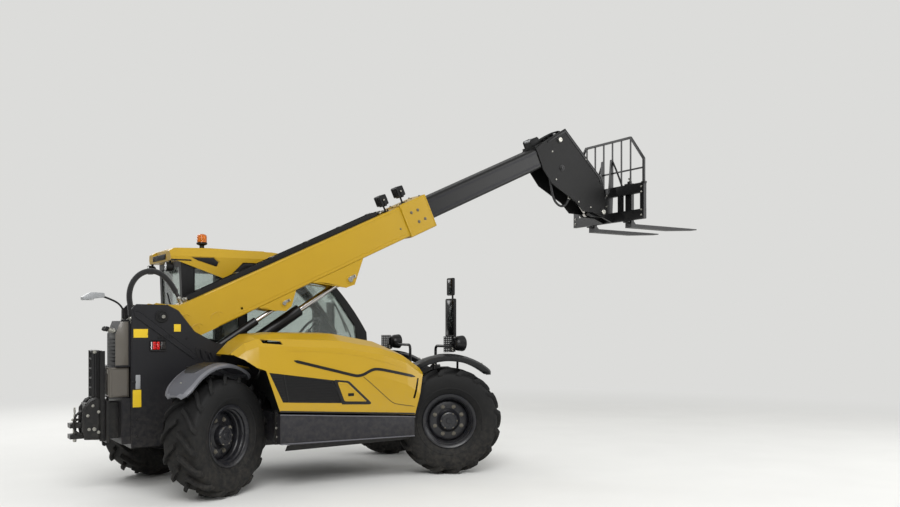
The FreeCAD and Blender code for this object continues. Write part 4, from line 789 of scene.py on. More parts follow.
def make_fenders():
    for axle, (radius, a0, a1, p0, p1) in FENDERS.items():
        # The front fenders take the darker copy of the plastic: painted shade.
        finish = fender_grey if axle == "rear" else fender_painted_shade
        # The rear lip takes the lighter copy of the fender plastic: a painted highlight.
        lip_finish = fender_lip_painted_highlight if axle == "rear" else fender_painted_shade
        shell = arc_sheet("fender_shell", radius - 8, (a0, a1), FENDER_Y, 7, 0.14, crown=FENDER_CROWN)
        stays = join("fender_stays", fender_stays(radius - 8))
        deep = WALL[axle]
        rim = arc_sheet("fender_rim", radius - deep - 2, (a0 - 0.4, a1 + 0.4), FENDER_Y, deep, 0.14,
                        crown=FENDER_CROWN)
        inner = arc_sheet("inner", radius - deep - 40, (a0 + 2.5, a1 - 2.5), (FENDER_Y[0] + 18, FENDER_Y[1] - 18),
                          deep + 70, 0.14)
        cut = rim.modifiers.new("cut", "BOOLEAN")
        cut.object = inner
        cut.operation = "DIFFERENCE"
        only(rim)
        bpy.ops.object.modifier_apply(modifier="cut")
        bpy.data.objects.remove(inner)
        soften(rim, 2)
        # The sunk panel is a darker copy of the fender plastic: painted shade in the recess.
        sunk = arc_sheet("fender_panel", radius - 2.4, (p0, p1), SUNK_Y, 1.6, 0.22)
        screw_places = [(*on_arc(radius - 2, a, y), tuple(Vector(on_arc(1, a, 0)) - Vector((0, 0, AXLE_Z))), 6)
                        for a, y in ((a0 + 9, -200), (a0 + 9, -90), ((p1 + a1) / 2, -146))]
        screws = bolts("fender_screws", screw_places)
        for side, way in (("right", -1), ("left", 1)):
            corner = axle + "_" + side
            for part, skin in ((shell, finish), (rim, lip_finish), (sunk, fender_painted_shade), (stays, black),
                               (screws, zinc)):
                piece = copy_of(part, Matrix()) if way < 0 else mirrored(part)
                piece.name = part.name.split(".")[0] + "_" + corner
                done(piece, "steer_" + corner, skin, fender_place(corner, way))
                if part is shell:
                    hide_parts("fender_" + corner)
        for part in (shell, rim, sunk, stays, screws):
            bpy.data.objects.remove(part)


# ---------------------------------------------------------------- lamps and mirrors

LAMP_X = 2470
LAMP_Y = 640
# The lowered boom's collar bolts pass 6 mm inside this post.
POST_Y = 258
BAR_Z = 1196
LAMP_Z = 1226
# Road lamp bucket: radius, and how far forward of its back.
BUCKET_ROWS = [(0.4, 0), (34, 0), (52, 8), (66, 26), (73, 52), (75, 84), (77, 88), (77, 104), (73, 108), (69, 104),
               (69, 94), (66, 90), (56, 60), (0.4, 44)]


def make_road_lamps():
    for name, side in (("right", -1), ("left", 1)):
        y = side * LAMP_Y
        post = pipe("lamp_post_" + name, [(LAMP_X, side * POST_Y, 995), (LAMP_X, side * POST_Y, 1100),
                                          (LAMP_X, side * POST_Y, BAR_Z), (LAMP_X, side * 340, BAR_Z),
                                          (LAMP_X, side * 500, BAR_Z), (LAMP_X, y, BAR_Z)], 14, 5)
        foot = block("foot", (LAMP_X - 38, side * POST_Y - 34, 995), (LAMP_X + 38, side * POST_Y + 34, 1006))
        soften(foot, 4)
        cradle = block("cradle", (LAMP_X - 26, y - 34, BAR_Z - 16), (LAMP_X + 34, y + 34, BAR_Z + 12))
        soften(cradle, 5)
        bucket = turned("bucket", BUCKET_ROWS, 40)
        to_lamp = Matrix.Translation(Vector((LAMP_X - 30, y, LAMP_Z)) * MM) @ Matrix.Rotation(math.pi / 2, 4, "Y")
        copy_away(bucket, to_lamp)
        ribs = [block("rib", (LAMP_X - 36, y - 34 + i * 17 - 2, LAMP_Z - 34), (LAMP_X - 24, y - 34 + i * 17 + 2,
                                                                            LAMP_Z + 34)) for i in range(5)]
        side_plate = sheet_with_holes("side_plate", LAMP_X - 140, LAMP_X - 24, 1142, 1296, y, (5, 8), 6.5, 5)
        strap = block("strap", (LAMP_X - 60, y - 5, 1146), (LAMP_X - 10, y + 5, BAR_Z + 10))
        done(join("road_lamp_" + name, [post, foot, cradle, bucket, side_plate, strap] + ribs), "chassis", black)
        bowl = turned("road_lamp_bowl_" + name, [(0.4, 52), (30, 58), (60, 84), (66, 96), (66, 92), (0.4, 48)], 40)
        done(copy_away(bowl, to_lamp), "chassis", mirror_face)
        cover = turned("road_lamp_cover_" + name, [(0.4, 96), (67, 96), (68, 100), (50, 107), (0.4, 111)], 40)
        done(copy_away(cover, to_lamp), "chassis", lens)
        screws = [(LAMP_X + sx * 27, side * POST_Y + sy * 23, 1006, (0, 0, 1), 7) for sx in (-1, 1) for sy in (-1, 1)]
        screws += [(LAMP_X - 45, y + s * 5, z, (0, s, 0), 6) for s in (-1, 1) for z in (1160, 1180)]
        done(bolts("road_lamp_bolts_" + name, screws), "chassis", zinc)


def make_roof_lamps():
    along_x = Matrix.Rotation(math.radians(-90), 4, "Y")
    for name, y in (("right", 190), ("left", 820)):
        place = MACHINE @ Matrix.Translation(Vector((-20, y, 1930)) * MM) @ along_x
        shell = turned("shell", [(0.4, 0), (24, 0), (36, 10), (42, 30), (43, 62), (43, 70), (38, 70), (36, 64),
                                 (20, 20), (0.4, 18)], 36)
        neck = block("neck", (30, -10, 20), (56, 10, 40))
        soften(neck, 3)
        done(join("roof_lamp_" + name, [shell, neck]), "chassis", plastic, place)
        bowl = turned("roof_lamp_bowl_" + name, [(0.4, 22), (20, 24), (34, 60), (35, 63), (35, 60), (0.4, 20)], 36)
        done(bowl, "chassis", reflector, place)
        cover = turned("roof_lamp_cover_" + name, [(0.4, 64), (37, 64), (37.5, 68), (30, 71), (0.4, 73)], 36)
        done(cover, "chassis", lens, place)


def make_beacon():
    place = MACHINE @ Matrix.Translation(Vector((330, 500, 0)) * MM)
    base = turned("beacon_base", [(0.4, 2110.5), (38, 2110.5), (38, 2116), (26, 2122), (22, 2130), (22, 2160),
                                  (44, 2168), (50, 2174), (50, 2186), (46, 2190), (0.4, 2190)], 36)
    done(base, "chassis", plastic, place)
    bulb = turned("beacon_bulb", [(0.4, 2190), (20, 2190), (20, 2214), (14, 2236), (0.4, 2240)], 24)
    done(bulb, "chassis", reflector, place)
    dome = turned("beacon_dome", [(0.4, 2190), (46, 2190), (46, 2242), (43, 2256), (35, 2264), (20, 2268.5),
                                  (0.4, 2270)], 40)
    done(dome, "chassis", amber_lens, place)


def make_plate_lamp():
    foot = block("foot", (-550, -228, 1440.5), (-490, -172, 1452))
    soften(foot, 4)
    arm = pipe("arm", [(-520, -200, 1446), (-520, -200, 1500), (-560, -200, 1580), (-640, -200, 1622),
                       (-705, -200, 1644)], 8, 4)
    done(join("plate_lamp_arm", [foot, arm]), "chassis", plastic)
    done(bolts("plate_lamp_bolts", [(x, -200, 1452, (0, 0, 1), 6) for x in (-540, -500)]), "chassis", zinc)
    shade = panel("plate_lamp_shade", [(-850, 1606), (-859, 1618), (-856, 1634), (-800, 1671), (-770, 1672),
                                       (-694, 1669), (-690, 1660), (-690, 1630), (-760, 1622)], -258, -142)
    soften(shade, 7, 3)
    frame_face(shade, (0.42, 0, -0.9), 9, -7)
    done(shade, "chassis", pale_plastic)
    window = block("plate_lamp_window", (-828, -240, 1608), (-772, -160, 1622))
    soften(window, 5, 3)
    done(window, "chassis", lens)


def make_tail_lamps():
    for name, y, out in (("right", -270.2, -1), ("left", 114.8, 1)):
        def at(x0, x1, deep0, deep1, z0, z1, label):
            ys = sorted((y + out * deep0, y + out * deep1))
            return block(label, (x0, ys[0], z0), (x1, ys[1], z1))
        tray = at(-338, -202, 0, 15, 1187, 1278, "tail_lamp_tray_" + name)
        soften(tray, 5)
        frame_face(tray, (0, out, 0), 6, -5)
        done(tray, "chassis", plastic)
        for label, x0, x1, skin in (("reverse", -331, -320, lens), ("stop", -317, -288, red_lens),
                                    ("turn", -285, -258, red_lens), ("side", -254, -209, smoked_lens)):
            cover = at(x0, x1, 9, 21, 1198, 1267, label + "_lamp_" + name)
            taper_face(cover, (0, out, 0), (0.86, 1, 0.9))
            soften(cover, 4, 3)
            done(cover, "chassis", skin)
            bowl = at(x0 + 4, x1 - 4, 9.5, 11, 1202, 1263, label + "_bowl_" + name)
            soften(bowl, 0.4, 1)
            done(bowl, "chassis", reflector)
    fins = [block("fin", (-270 + i * 22, -276, 1290), (-260 + i * 22, -270, 1324)) for i in range(6)]
    for fin in fins:
        soften(fin, 2)
    done(join("tail_lamp_fins", fins), "chassis", plastic)


def make_mirrors():
    for name, x, y, side in (("right", 2395, -LAMP_Y, -1), ("left", 1879, 1000, 1)):
        parts, frames = [], []
        for half, z0, z1 in ((85, 1290, 1660), (60, 1690, 1860)):
            rim = block("rim", (x, y - half, z0), (x + 29, y + half, z1))
            soften(rim, 13, 4)
            frame_face(rim, (-1, 0, 0), 7, -4)
            frames.append(rim)
            face = block("face", (x + 1, y - half + 17, z0 + 17), (x + 8, y + half - 17, z1 - 17))
            soften(face, 1.2)
            parts.append(face)
            for z in (z0 + 60, z1 - 60):
                grip = block("grip", (x + 26, y - 18, z - 14), (x + 44, y + 18, z + 14))
                soften(grip, 5)
                frames.append(grip)
        stem = pipe("stem", [(x + 35, y, 1236), (x + 35, y, 1400), (x + 35, y, 1600), (x + 35, y, 1850)], 9, 3)
        frames.append(stem)
        if side < 0:
            foot = block("foot", (2416, y - 20, 1216), (2440, y + 20, 1246))
        else:
            foot = block("foot", (1890, 790, 1192), (1906, 870, 1260))
            frames.append(pipe("arm", [(1904, 826, 1238), (1914, 850, 1238), (1914, 930, 1238), (1914, 1000, 1238)],
                               9, 3))
        soften(foot, 4)
        frames.append(foot)
        shells = done(join("mirror_shells_" + name, frames), "chassis", plastic)
        glass = done(join("mirror_glass_" + name, parts), "chassis", mirror_face)
        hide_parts("mirrors")
        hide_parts("mirrors")


# ---------------------------------------------------------------- engine hood

SIDE_Y = -880


def smooth_line(points):
    data = bpy.data.curves.new("line", "CURVE")
    data.dimensions = "3D"
    data.resolution_u = 10
    run = data.splines.new("NURBS")
    run.points.add(len(points) - 1)
    for knot, (x, z) in zip(run.points, points):
        knot.co = (x, 0, z, 1.0)
    run.order_u = 3
    run.use_endpoint_u = True
    line = bpy.data.objects.new("line", data)
    scene.collection.objects.link(line)
    path = [corner.co.copy() for corner in bpy.data.meshes.new_from_object(line).vertices]
    bpy.data.objects.remove(line)
    return path


def ribbon(name, points, width, node, lift, thick, y=SIDE_Y - 30, soft_ends=True):
    """A strip along a line on the machine's right side, laid onto a node's skin."""
    path = smooth_line(points)
    count = len(path)
    bpy.ops.object.select_all(action="DESELECT")
    bpy.ops.mesh.primitive_grid_add(x_subdivisions=count - 1, y_subdivisions=2, size=1.0)
    ob = named(name)
    for i, corner in enumerate(ob.data.vertices):
        k, row = i % count, i // count
        along = (path[min(k + 1, count - 1)] - path[max(k - 1, 0)]).normalized()
        half = width / 2
        if soft_ends:
            reach = min((path[k] - path[0]).length, (path[k] - path[-1]).length)
            half *= math.sqrt(min(1.0, 0.06 + reach / width))
        side = Vector((-along.z, 0, along.x)) * (row - 1) * half
        corner.co = spot(path[k].x + side.x, y, path[k].z + side.z)
    only(ob)
    fall = ob.modifiers.new("fall", "SHRINKWRAP")
    fall.target = NODES[node]
    fall.wrap_method = "PROJECT"
    fall.use_project_y = True
    fall.use_positive_direction = True
    fall.use_negative_direction = False
    fall.offset = lift * MM
    bpy.ops.object.modifier_apply(modifier="fall")
    wall = ob.modifiers.new("wall", "SOLIDIFY")
    wall.thickness = thick * MM
    wall.offset = 0.0
    bpy.ops.object.modifier_apply(modifier="wall")
    pick(ob, "FACE", lambda face: True)
    bpy.ops.mesh.normals_make_consistent(inside=False)
    close()
    return ob


def make_hood_trim():
    line = ribbon("hood_accent", [(700, 1104), (860, 1064), (1100, 1004), (1240, 968), (1292, 958), (1350, 968),
                                  (1420, 1004), (1480, 1018), (1640, 988), (1884, 934)], 25, "engine_hood", 1.4, 2.4)
    done(line, "hood", black, Matrix())
    # A thin dark strip along the crease: painted shade of the fold.
    crease = ribbon("hood_crease", [(1345, 950), (1400, 910), (1560, 772), (1640, 706), (1700, 690), (1868, 664)],
                    8, "engine_hood", 0.4, 1.0)
    done(crease, "hood", hood_crease_painted_shade, Matrix(), corner=60)
    top = ribbon("hood_shoulder_crease", [(640, 1196), (900, 1190), (1200, 1160), (1500, 1105), (1800, 1012)],
                 16, "engine_hood", 0.6, 3.0)
    done(top, "hood", yellow, Matrix(), corner=60)
    edge = panel("edge", [(573, 676), (574, 690), (1868, 606), (1870, 592)], SIDE_Y - 3, SIDE_Y + 2)
    soften(edge, 1.5)
    done(join("hood_lower_edge", [edge]), "hood", black)


def make_grille():
    mesh = sheet_with_holes("grille_mesh", 600, 1170, 720, 1000, -875.5, (50, 25), 2.1, 1.6)
    for point, normal in (((621, 0, 985), (-0.17, 0, 0.985)), ((621, 0, 985), (-0.985, 0, -0.17)),
                          ((665, 0, 766), (-0.05, 0, -1)), ((1154, 0, 736), (0.82, 0, 0.57))):
        slice_at(mesh, point, normal, keep_below=True)
    done(mesh, "hood", plastic)
    surround = [((606, 998), (1040, 922), 9), ((1040, 922), (1168, 726), 9), ((1168, 726), (654, 758), 9),
                ((654, 758), (606, 998), 9)]
    bars = []
    for (x0, z0), (x1, z1), wide in surround:
        along = Vector((x1 - x0, 0, z1 - z0)).normalized() * 4
        side = Vector((-along.z, 0, along.x)).normalized() * wide / 2
        a, b = Vector((x0, 0, z0)) - along, Vector((x1, 0, z1)) + along
        bar = panel("bar", [(a.x + side.x, a.z + side.z), (b.x + side.x, b.z + side.z),
                            (b.x - side.x, b.z - side.z), (a.x - side.x, a.z - side.z)], -879, -873)
        soften(bar, 1.5)
        bars.append(bar)
    done(join("grille_surround", bars), "hood", black)
    backing = panel("flap_backing", [(1066, 922), (1078, 932), (1196, 920), (1214, 912), (1420, 724), (1424, 712),
                                     (1410, 704), (1140, 716)], -882.5, -873)
    soften(backing, 3, 2)
    done(backing, "hood", black)
    flap = panel("side_flap", [(1098, 904), (1106, 913), (1184, 903), (1200, 894), (1362, 748), (1366, 738),
                               (1356, 732), (1172, 742), (1160, 750)], -888, -880)
    soften(flap, 4, 3)
    frame_face(flap, (0, -1, 0), 14, -2.2)
    done(flap, "hood", yellow)
    latch = block("flap_latch", (1196, -891, 786), (1252, -884, 812))
    soften(latch, 5, 3)
    frame_face(latch, (0, -1, 0), 6, -3)
    key = drum("key", (1214, -892, 799), (1214, -888, 799), 6, 16)
    soften(key, 1)
    done(join("flap_latch", [latch, key]), "hood", plastic)


def make_skirt():
    face = panel("skirt_face", [(582, 424), (582, 645), (1864, 560), (1864, 407)], -884, -879)
    soften(face, 2.5)
    done(face, "chassis", skirt_grey)
    # Light strips along the skirt's top edge and along its fold: painted highlights.
    strip = panel("skirt_top_line", [(574, 650), (574, 660), (1872, 573), (1872, 563)], -886, -878)
    soften(strip, 2)
    done(strip, "chassis", skirt_painted_highlight)
    fold = panel("skirt_fold", [(580, 404), (580, 414), (1866, 402), (1866, 392)], -886, -878)
    soften(fold, 2)
    done(fold, "chassis", skirt_painted_highlight)
    low = block("skirt_foot", (640, -878, 342), (1828, -870, 397))
    pick(low, "VERT", lambda corner: corner.co.z < 0.36)
    bpy.ops.transform.translate(value=(0, 0.052, 0))
    close()
    pick(low, "VERT", lambda corner: corner.co.z < 0.36 and corner.co.x > 1.5)
    bpy.ops.transform.translate(value=(0, 0, 0.02))
    close()
    soften(low, 2)
    done(low, "chassis", plastic)
    plate = sheet_with_holes("step_bracket", 556, 604, 400, 690, -806, (2, 9), 7, 5)
    post = block("post", (566, -800, 420), (596, -760, 670))
    soften(post, 3)
    done(join("step_bracket", [plate, post]), "chassis", black)
    spots = [(582, 648), (582, 581), (569, 540), (591, 539), (578, 464)]
    done(bolts("step_bracket_bolts", [(x, -808.5, z, (0, -1, 0), 8) for x, z in spots]), "chassis", zinc)
    left = []
    for z in (412, 486):
        tread = sheet_with_holes("tread", 985, 1415, -878, -700, -(z + 8), (16, 6), 7, 5)
        left.append(tread)
    treads = join("step_treads", left)
    turn = Matrix(((1, 0, 0, 0), (0, 0, -1, 0), (0, -1, 0, 0), (0, 0, 0, 1)))
    done(treads, "chassis", zinc, MACHINE @ turn)


# ---------------------------------------------------------------- tower and rear end

TOWER_Y = -270


def make_tower_details():
    cap = turned("pivot_cap", [(0.4, -4), (52, -4), (52, 1), (49, 4), (40, 4), (38, 1.5), (26, 1.5), (25, 12),
                               (22, 15), (0.4, 15)], 40)
    done(copy_away(cap, aim(-240, TOWER_Y - 10, 1479, (0, -1, 0))), "chassis", black)
    pin = turned("pivot_pin_end", [(0.4, 0), (15, 0), (15, 5), (12, 8), (6, 8), (5, 5), (0.4, 5)], 28)
    done(copy_away(pin, aim(-229, TOWER_Y - 24, 1475, (0, -1, 0))), "chassis", zinc)
    plates = []
    for x0, x1, z0, z1 in ((-468, -352, 1301, 1372), (-137, -80, 1350, 1412), (-474, -406, 723, 867)):
        plate = block("plate", (x0, TOWER_Y - 1.6, z0), (x1, TOWER_Y + 0.5, z1))
        frame_face(plate, (0, -1, 0), 4, 0.4)
        plates.append(plate)
    done(join("blank_plates", plates), "chassis", label_yellow)
    strip = block("side_reflector", (-452, TOWER_Y - 7, 873), (-413, TOWER_Y + 0.5, 991))
    soften(strip, 5, 3)
    done(strip, "chassis", pale_plastic)
    clip = block("reflector_clip", (-484, TOWER_Y - 10, 925), (-450, TOWER_Y, 941))
    soften(clip, 3)
    done(clip, "chassis", black)
    heads = [(-352, TOWER_Y - 0.5, 1330, (0, -1, 0), 5), (-30, TOWER_Y - 0.5, 1290, (0, -1, 0), 7),
             (300, TOWER_Y - 0.5, 1090, (0, -1, 0), 7), (520, TOWER_Y - 0.5, 1070, (0, -1, 0), 7),
             (-440, TOWER_Y - 0.5, 620, (0, -1, 0), 7), (-440, TOWER_Y - 0.5, 480, (0, -1, 0), 7)]
    done(bolts("tower_bolts", heads), "chassis", black)
    # Three curved ribs over the slots.
    ribs = []
    for i in range(4):
        x = 52 + i * 45
        ribs.append(pipe("rib", [(x - 6, TOWER_Y - 1, 1210 - i * 14), (x + 4, TOWER_Y - 1, 1160 - i * 8),
                                 (x + 22, TOWER_Y - 1, 1100 - i * 2)], 6, 3))
    done(join("slot_ribs", ribs), "chassis", charcoal)
    ridges = [pipe("ridge", [(x0, TOWER_Y - 6, z0), ((x0 + x1) / 2, TOWER_Y - 6, (z0 + z1) / 2), (x1, TOWER_Y - 6, z1)],
                   4, 3) for x0, z0, x1, z1 in ((-462, 1527, -414, 1514), (-414, 1514, 56, 1151), (-450, 1474, 34, 1116))]
    done(join("tower_ridges", ridges), "chassis", charcoal)
    lower = pipe("tower_edge", [(-484, TOWER_Y + 1, 1530), (-484, TOWER_Y + 1, 900), (-484, TOWER_Y + 1, 400)], 5, 3)
    done(lower, "chassis", charcoal)


def make_rear_end():
    side = block("battery_cover", (-641, -204, 806), (-490, -199, 1054))
    soften(side, 2)
    frame_face(side, (0, -1, 0), 14, 1.5)
    back = block("back", (-644, -194, 806), (-638, 224, 1054))
    soften(back, 2)
    frame_face(back, (-1, 0, 0), 16, 1.5)
    done(join("battery_cover", [side, back]), "chassis", box_grey)
    latch = [block("latch", (-650, y - 14, 1000), (-643, y + 14, 1040)) for y in (-120, 150)]
    for part in latch:
        soften(part, 3)
    done(join("battery_latches", latch), "chassis", zinc)
    upper = panel("tank_face", [(-604, 1072), (-604, 1328), (-563, 1434), (-500, 1434), (-500, 1072)], -233, -229)
    soften(upper, 1.5)
    done(upper, "chassis", box_grey)
    grid = []
    for i in range(7):
        rib = block("rib", (-606, -190, 1100 + i * 30), (-598, 60, 1112 + i * 30))
        soften(rib, 3)
        grid.append(rib)
    done(join("rear_louvres", grid), "chassis", plastic)
    couplers = []
    for i in range(4):
        body = turned("coupler", [(0.4, 0), (17, 0), (17, 14), (13, 16), (13, 34), (16, 36), (16, 52), (11, 56),
                                  (11, 60), (7, 60), (6, 48), (0.4, 48)], 24)
        couplers.append(copy_away(body, aim(-600, -196 + i * 44, 1356 - (i % 2) * 4, (-1, 0, 0.35))))
    done(join("couplers", couplers), "chassis", zinc)
    caps = []
    for i in range(4):
        cap = turned("cap", [(0.4, 0), (19, 0), (19, 4), (17, 6), (17, 20), (14, 24), (0.4, 25)], 20)
        caps.append(copy_away(cap, aim(-652, -196 + i * 44, 1374 - (i % 2) * 4, (-1, 0, 0.35))))
    done(join("coupler_caps", caps), "chassis", plastic)
    bracket = block("bracket", (-604, -222, 1300), (-592, 10, 1345))
    soften(bracket, 3)
    done(join("coupler_plate", [bracket]), "chassis", black)


def make_hitch():
    parts = []
    channel = block("channel", (-768, -104, 752), (-700, 29, 1196))
    soften(channel, 6)
    frame_face(channel, (-1, 0, 0), 16, -26)
    frame_face(channel, (0, -1, 0), 20, -4)
    parts.append(channel)
    for z in (800, 880, 960, 1040, 1120):
        rung = block("rung", (-764, -92, z), (-740, 17, z + 14))
        soften(rung, 2)
        parts.append(rung)
    for side_y in (-128, 53):
        cheek = panel("cheek", [(-700, 455), (-700, 790), (-738, 812), (-790, 790), (-838, 720), (-846, 560),
                                (-826, 462)], side_y - 8, side_y + 8)
        soften(cheek, 4)
        frame_face(cheek, (0, -1, 0), 16, -2)
        parts.append(cheek)
    for z in (470, 560):
        jaw = drum("jaw", (-885, -37.5, z - 4), (-885, -37.5, z + 40), 40, 32)
        soften(jaw, 4)
        parts.append(jaw)
    hook = pipe("hook", [(-846, -128, 700), (-872, -128, 690), (-905, -128, 640), (-908, -128, 560),
                         (-880, -128, 520), (-846, -128, 512)], 9, 4)
    parts.append(hook)
    done(join("hitch_body", parts), "chassis", black)
    pin = turned("hitch_pin", [(0.4, 440), (11, 440), (14.5, 446), (14.5, 612), (24, 614), (26, 618), (26, 630),
                               (22, 634), (9, 636), (9, 668), (0.4, 670)], 28)
    loop = pipe("handle", [(-885, -37.5, 664), (-885, -12, 690), (-885, -12, 716), (-885, -37.5, 728),
                           (-885, -63, 716), (-885, -63, 690), (-885, -37.5, 664)], 5, 3)
    pin = copy_away(pin, Matrix.Translation(Vector((-885, -37.5, 0)) * MM))
    done(join("hitch_pin", [pin, loop]), "chassis", zinc)
    spots = [(-749, 547, 12), (-790, 547, 10), (-716, 688, 10), (-716, 520, 10), (-800, 660, 10), (-760, 740, 9)]
    rows = [(x, -137, z, (0, -1, 0), size) for x, z, size in spots] + [(x, 62, z, (0, 1, 0), size)
                                                                      for x, z, size in spots]
    rows += [(-742, -104.5, 1183, (0, -1, 0), 12), (-742, 29.5, 1183, (0, 1, 0), 12)]
    rows += [(-642, y, z, (-1, 0, 0), 9) for y in (-150, 75) for z in (500, 600, 700)]
    done(bolts("hitch_bolts", rows), "chassis", zinc)


# ---------------------------------------------------------------- boom

BOOM_RIGHT = -217.5
BOOM_LEFT = 62.5
COLLAR_OUT = 12


def pin_end(radius, long=9):
    r = radius
    return turned("pin_end", [(0.4, -3), (r, -3), (r, long - 3), (r - 3, long), (r * 0.45, long), (r * 0.35, long - 4),
                              (0.4, long - 4)], 32)


def make_boom_details():
    lift_pin, comp_pin = (1766, -424), (1060, -357)
    ends, keepers, rows, bosses = [], [], [], []
    for y, out in ((BOOM_RIGHT - 6, -1), (BOOM_LEFT + 6, 1)):
        for (u, v), r in ((lift_pin, 25), (comp_pin, 18)):
            ends.append(copy_away(pin_end(r), aim(u, y, v, (0, out, 0))))
            boss = turned("boss", [(r + 1, -8), (r + 16, -8), (r + 16, -3), (r + 13, 0), (r + 1, 0), (r + 1, -8)], 36)
            bosses.append(copy_away(boss, aim(u, y, v, (0, out, 0))))
            ys = sorted((y + out * 0.5, y + out * 5.5))
            keeper = panel("keeper", [(u + 4, v + r * 0.5), (u + 4, v + r + 3), (u + 62, v + r + 3),
                                      (u + 66, v + r - 4), (u + 66, v + 2), (u + 60, v - 3), (u + 12, v - 3)], *ys)
            soften(keeper, 2)
            keepers.append(keeper)
            rows.append((u + 50, y + out * 5.5, v + r * 0.5, (0, out, 0), 9))
    done(join("boom_pin_ends", ends), "boom", zinc, BOOM)
    done(join("boom_pin_bosses", bosses), "boom", yellow, BOOM)
    done(join("boom_pin_keepers", keepers), "boom", zinc, BOOM)
    for y, out in ((BOOM_RIGHT, -1), (BOOM_LEFT, 1)):
        skin = y + out * COLLAR_OUT
        rows += [(u, skin, v, (0, out, 0), 12) for u, v in ((2737, -87), (2657, -85), (2782, -197), (2704, -198))]
        rows += [(u, y, v, (0, out, 0), 8) for u, v in ((2569, -199), (2572, -235), (2483, -189))]
    rows += [(u, y, 28, (0, 0, 1), 10) for u in (2600, 2840) for y in (-180, 25)]
    done(bolts("boom_bolts", rows), "boom", dull_bolt, BOOM)
    folds = []
    for y, out in ((BOOM_RIGHT, -1), (BOOM_LEFT, 1)):
        for u0, u1, v0, v1 in ((560, 2540, -262, -254), (560, 2540, -8, 0)):
            ys = sorted((y - out * 1, y + out * 2.2))
            fold = block("fold", (u0, ys[0], v0), (u1, ys[1], v1))
            taper_face(fold, (0, out, 0), (0.998, 1, 0.4))
            folds.append(fold)
        for u, v in ((175, -104), (244, -222), (447, -201)):
            arch = [(u + 58 * math.cos(t), y + out * 0.5, v + 34 * math.sin(t))
                    for t in (math.pi * k / 6 for k in range(7))]
            folds.append(pipe("arch", arch, 3, 3))
        for u0, u1 in ((2562, 2572), (2866, 2878)):
            ys = sorted((y + out * (COLLAR_OUT - 1), y + out * (COLLAR_OUT + 2.5)))
            band = block("band", (u0, ys[0], -300), (u1, ys[1], 16))
            soften(band, 1.5)
            folds.append(band)
    done(join("boom_folds", folds), "boom", yellow, BOOM)
    weld_rows = [(830, -297, 965, -385), (1110, -412, 1215, -293), (1400, -293, 1700, -478), (1785, -486, 1975, -293)]
    welds = [pipe("weld", [(u0, y, v0), ((u0 + u1) / 2, y, (v0 + v1) / 2), (u1, y, v1)], 4, 3)
             for u0, v0, u1, v1 in weld_rows for y in (BOOM_RIGHT + 1, BOOM_LEFT - 1)]
    done(join("bracket_edges", welds), "boom", yellow, BOOM)


def make_tray_details():
    clamps, fittings = [], []
    for u in (420, 800, 1180, 1560, 1940, 2280):
        strap = block("strap", (u - 14, -154, 58), (u + 14, -26, 66))
        soften(strap, 3)
        clamps.append(strap)
        clamps += [copy_away(bolt_twin, Matrix()) for bolt_twin in
                   (copy_of(BOLT, aim(u, y, 66, (0, 0, 1), 0.6)) for y in (-140, -90, -40))]
    done(join("tray_clamps", clamps), "boom", black, BOOM)
    for y in (-121, -90, -59):
        nut = drum("nut", (2366, y, 33), (2392, y, 33), 19, 6)
        soften(nut, 1.5)
        elbow = pipe("elbow", [(2388, y, 33), (2418, y, 33), (2436, y, 26), (2440, y, 12)], 11, 4)
        fittings += [nut, elbow]
        rear_nut = drum("nut", (276, y, 33), (298, y, 33), 18, 6)
        soften(rear_nut, 1.5)
        fittings.append(rear_nut)
    done(join("tray_fittings", fittings), "boom", zinc, BOOM)


def make_work_lamps():
    for name, u, y, top in (("near", 2440, -137.5, 16), ("far", 2660, -127.5, 28)):
        middle = top + 120
        rim = drum("rim", (u + 38, y, middle), (u + 47, y, middle), 46, 36)
        soften(rim, 2)
        frame_face(rim, (1, 0, 0), 5, -5)
        fins = [block("fin", (u - 48, y - 44 + i * 16, top + 80), (u - 38, y - 38 + i * 16, top + 160))
                for i in range(6)]
        for fin in fins:
            soften(fin, 1.5)
        yoke = [block("yoke", (u - 12, y + s * 58 - 3, top + 66), (u + 12, y + s * 58 + 3, middle + 12))
                for s in (-1, 1)]
        yoke.append(block("yoke", (u - 12, y - 60, top + 58), (u + 12, y + 60, top + 68)))
        yoke.append(block("foot", (u - 24, y - 24, top), (u + 24, y + 24, top + 8)))
        for part in yoke:
            soften(part, 1.5)
        done(join("work_lamp_" + name, [rim] + fins + yoke), "boom", plastic, BOOM)
        bowl = drum("work_lamp_bowl_" + name, (u + 39, y, middle), (u + 43, y, middle), 39, 32)
        frame_face(bowl, (1, 0, 0), 8, -2)
        done(bowl, "boom", mirror_face, BOOM)
        cover = drum("work_lamp_cover_" + name, (u + 43, y, middle), (u + 46, y, middle), 40, 32)
        soften(cover, 1.2)
        done(cover, "boom", lens, BOOM)
        knobs = [(u, y + s * 61, middle, (0, s, 0), 7) for s in (-1, 1)]
        done(bolts("work_lamp_bolts_" + name, knobs), "boom", zinc, BOOM)
    cable_clips = []
    for i in range(6):
        clip = block("clip", (2480 + i * 60, -110, 14 if i < 1 else 26), (2492 + i * 60, -96, 34))
        soften(clip, 2)
        cable_clips.append(clip)
    done(join("lamp_wire_clips", cable_clips), "boom", plastic, BOOM)


# ---------------------------------------------------------------- extension, head and carriage

HEAD_RIGHT = -203.5
HEAD_LEFT = 48.5
TILT_PIN_UV = (5050.66, -994.9)


def machine_to_boom(x, z):
    turned_back = BOOM.inverted() @ spot(x, 0, z)
    return turned_back.x / MM, turned_back.z / MM


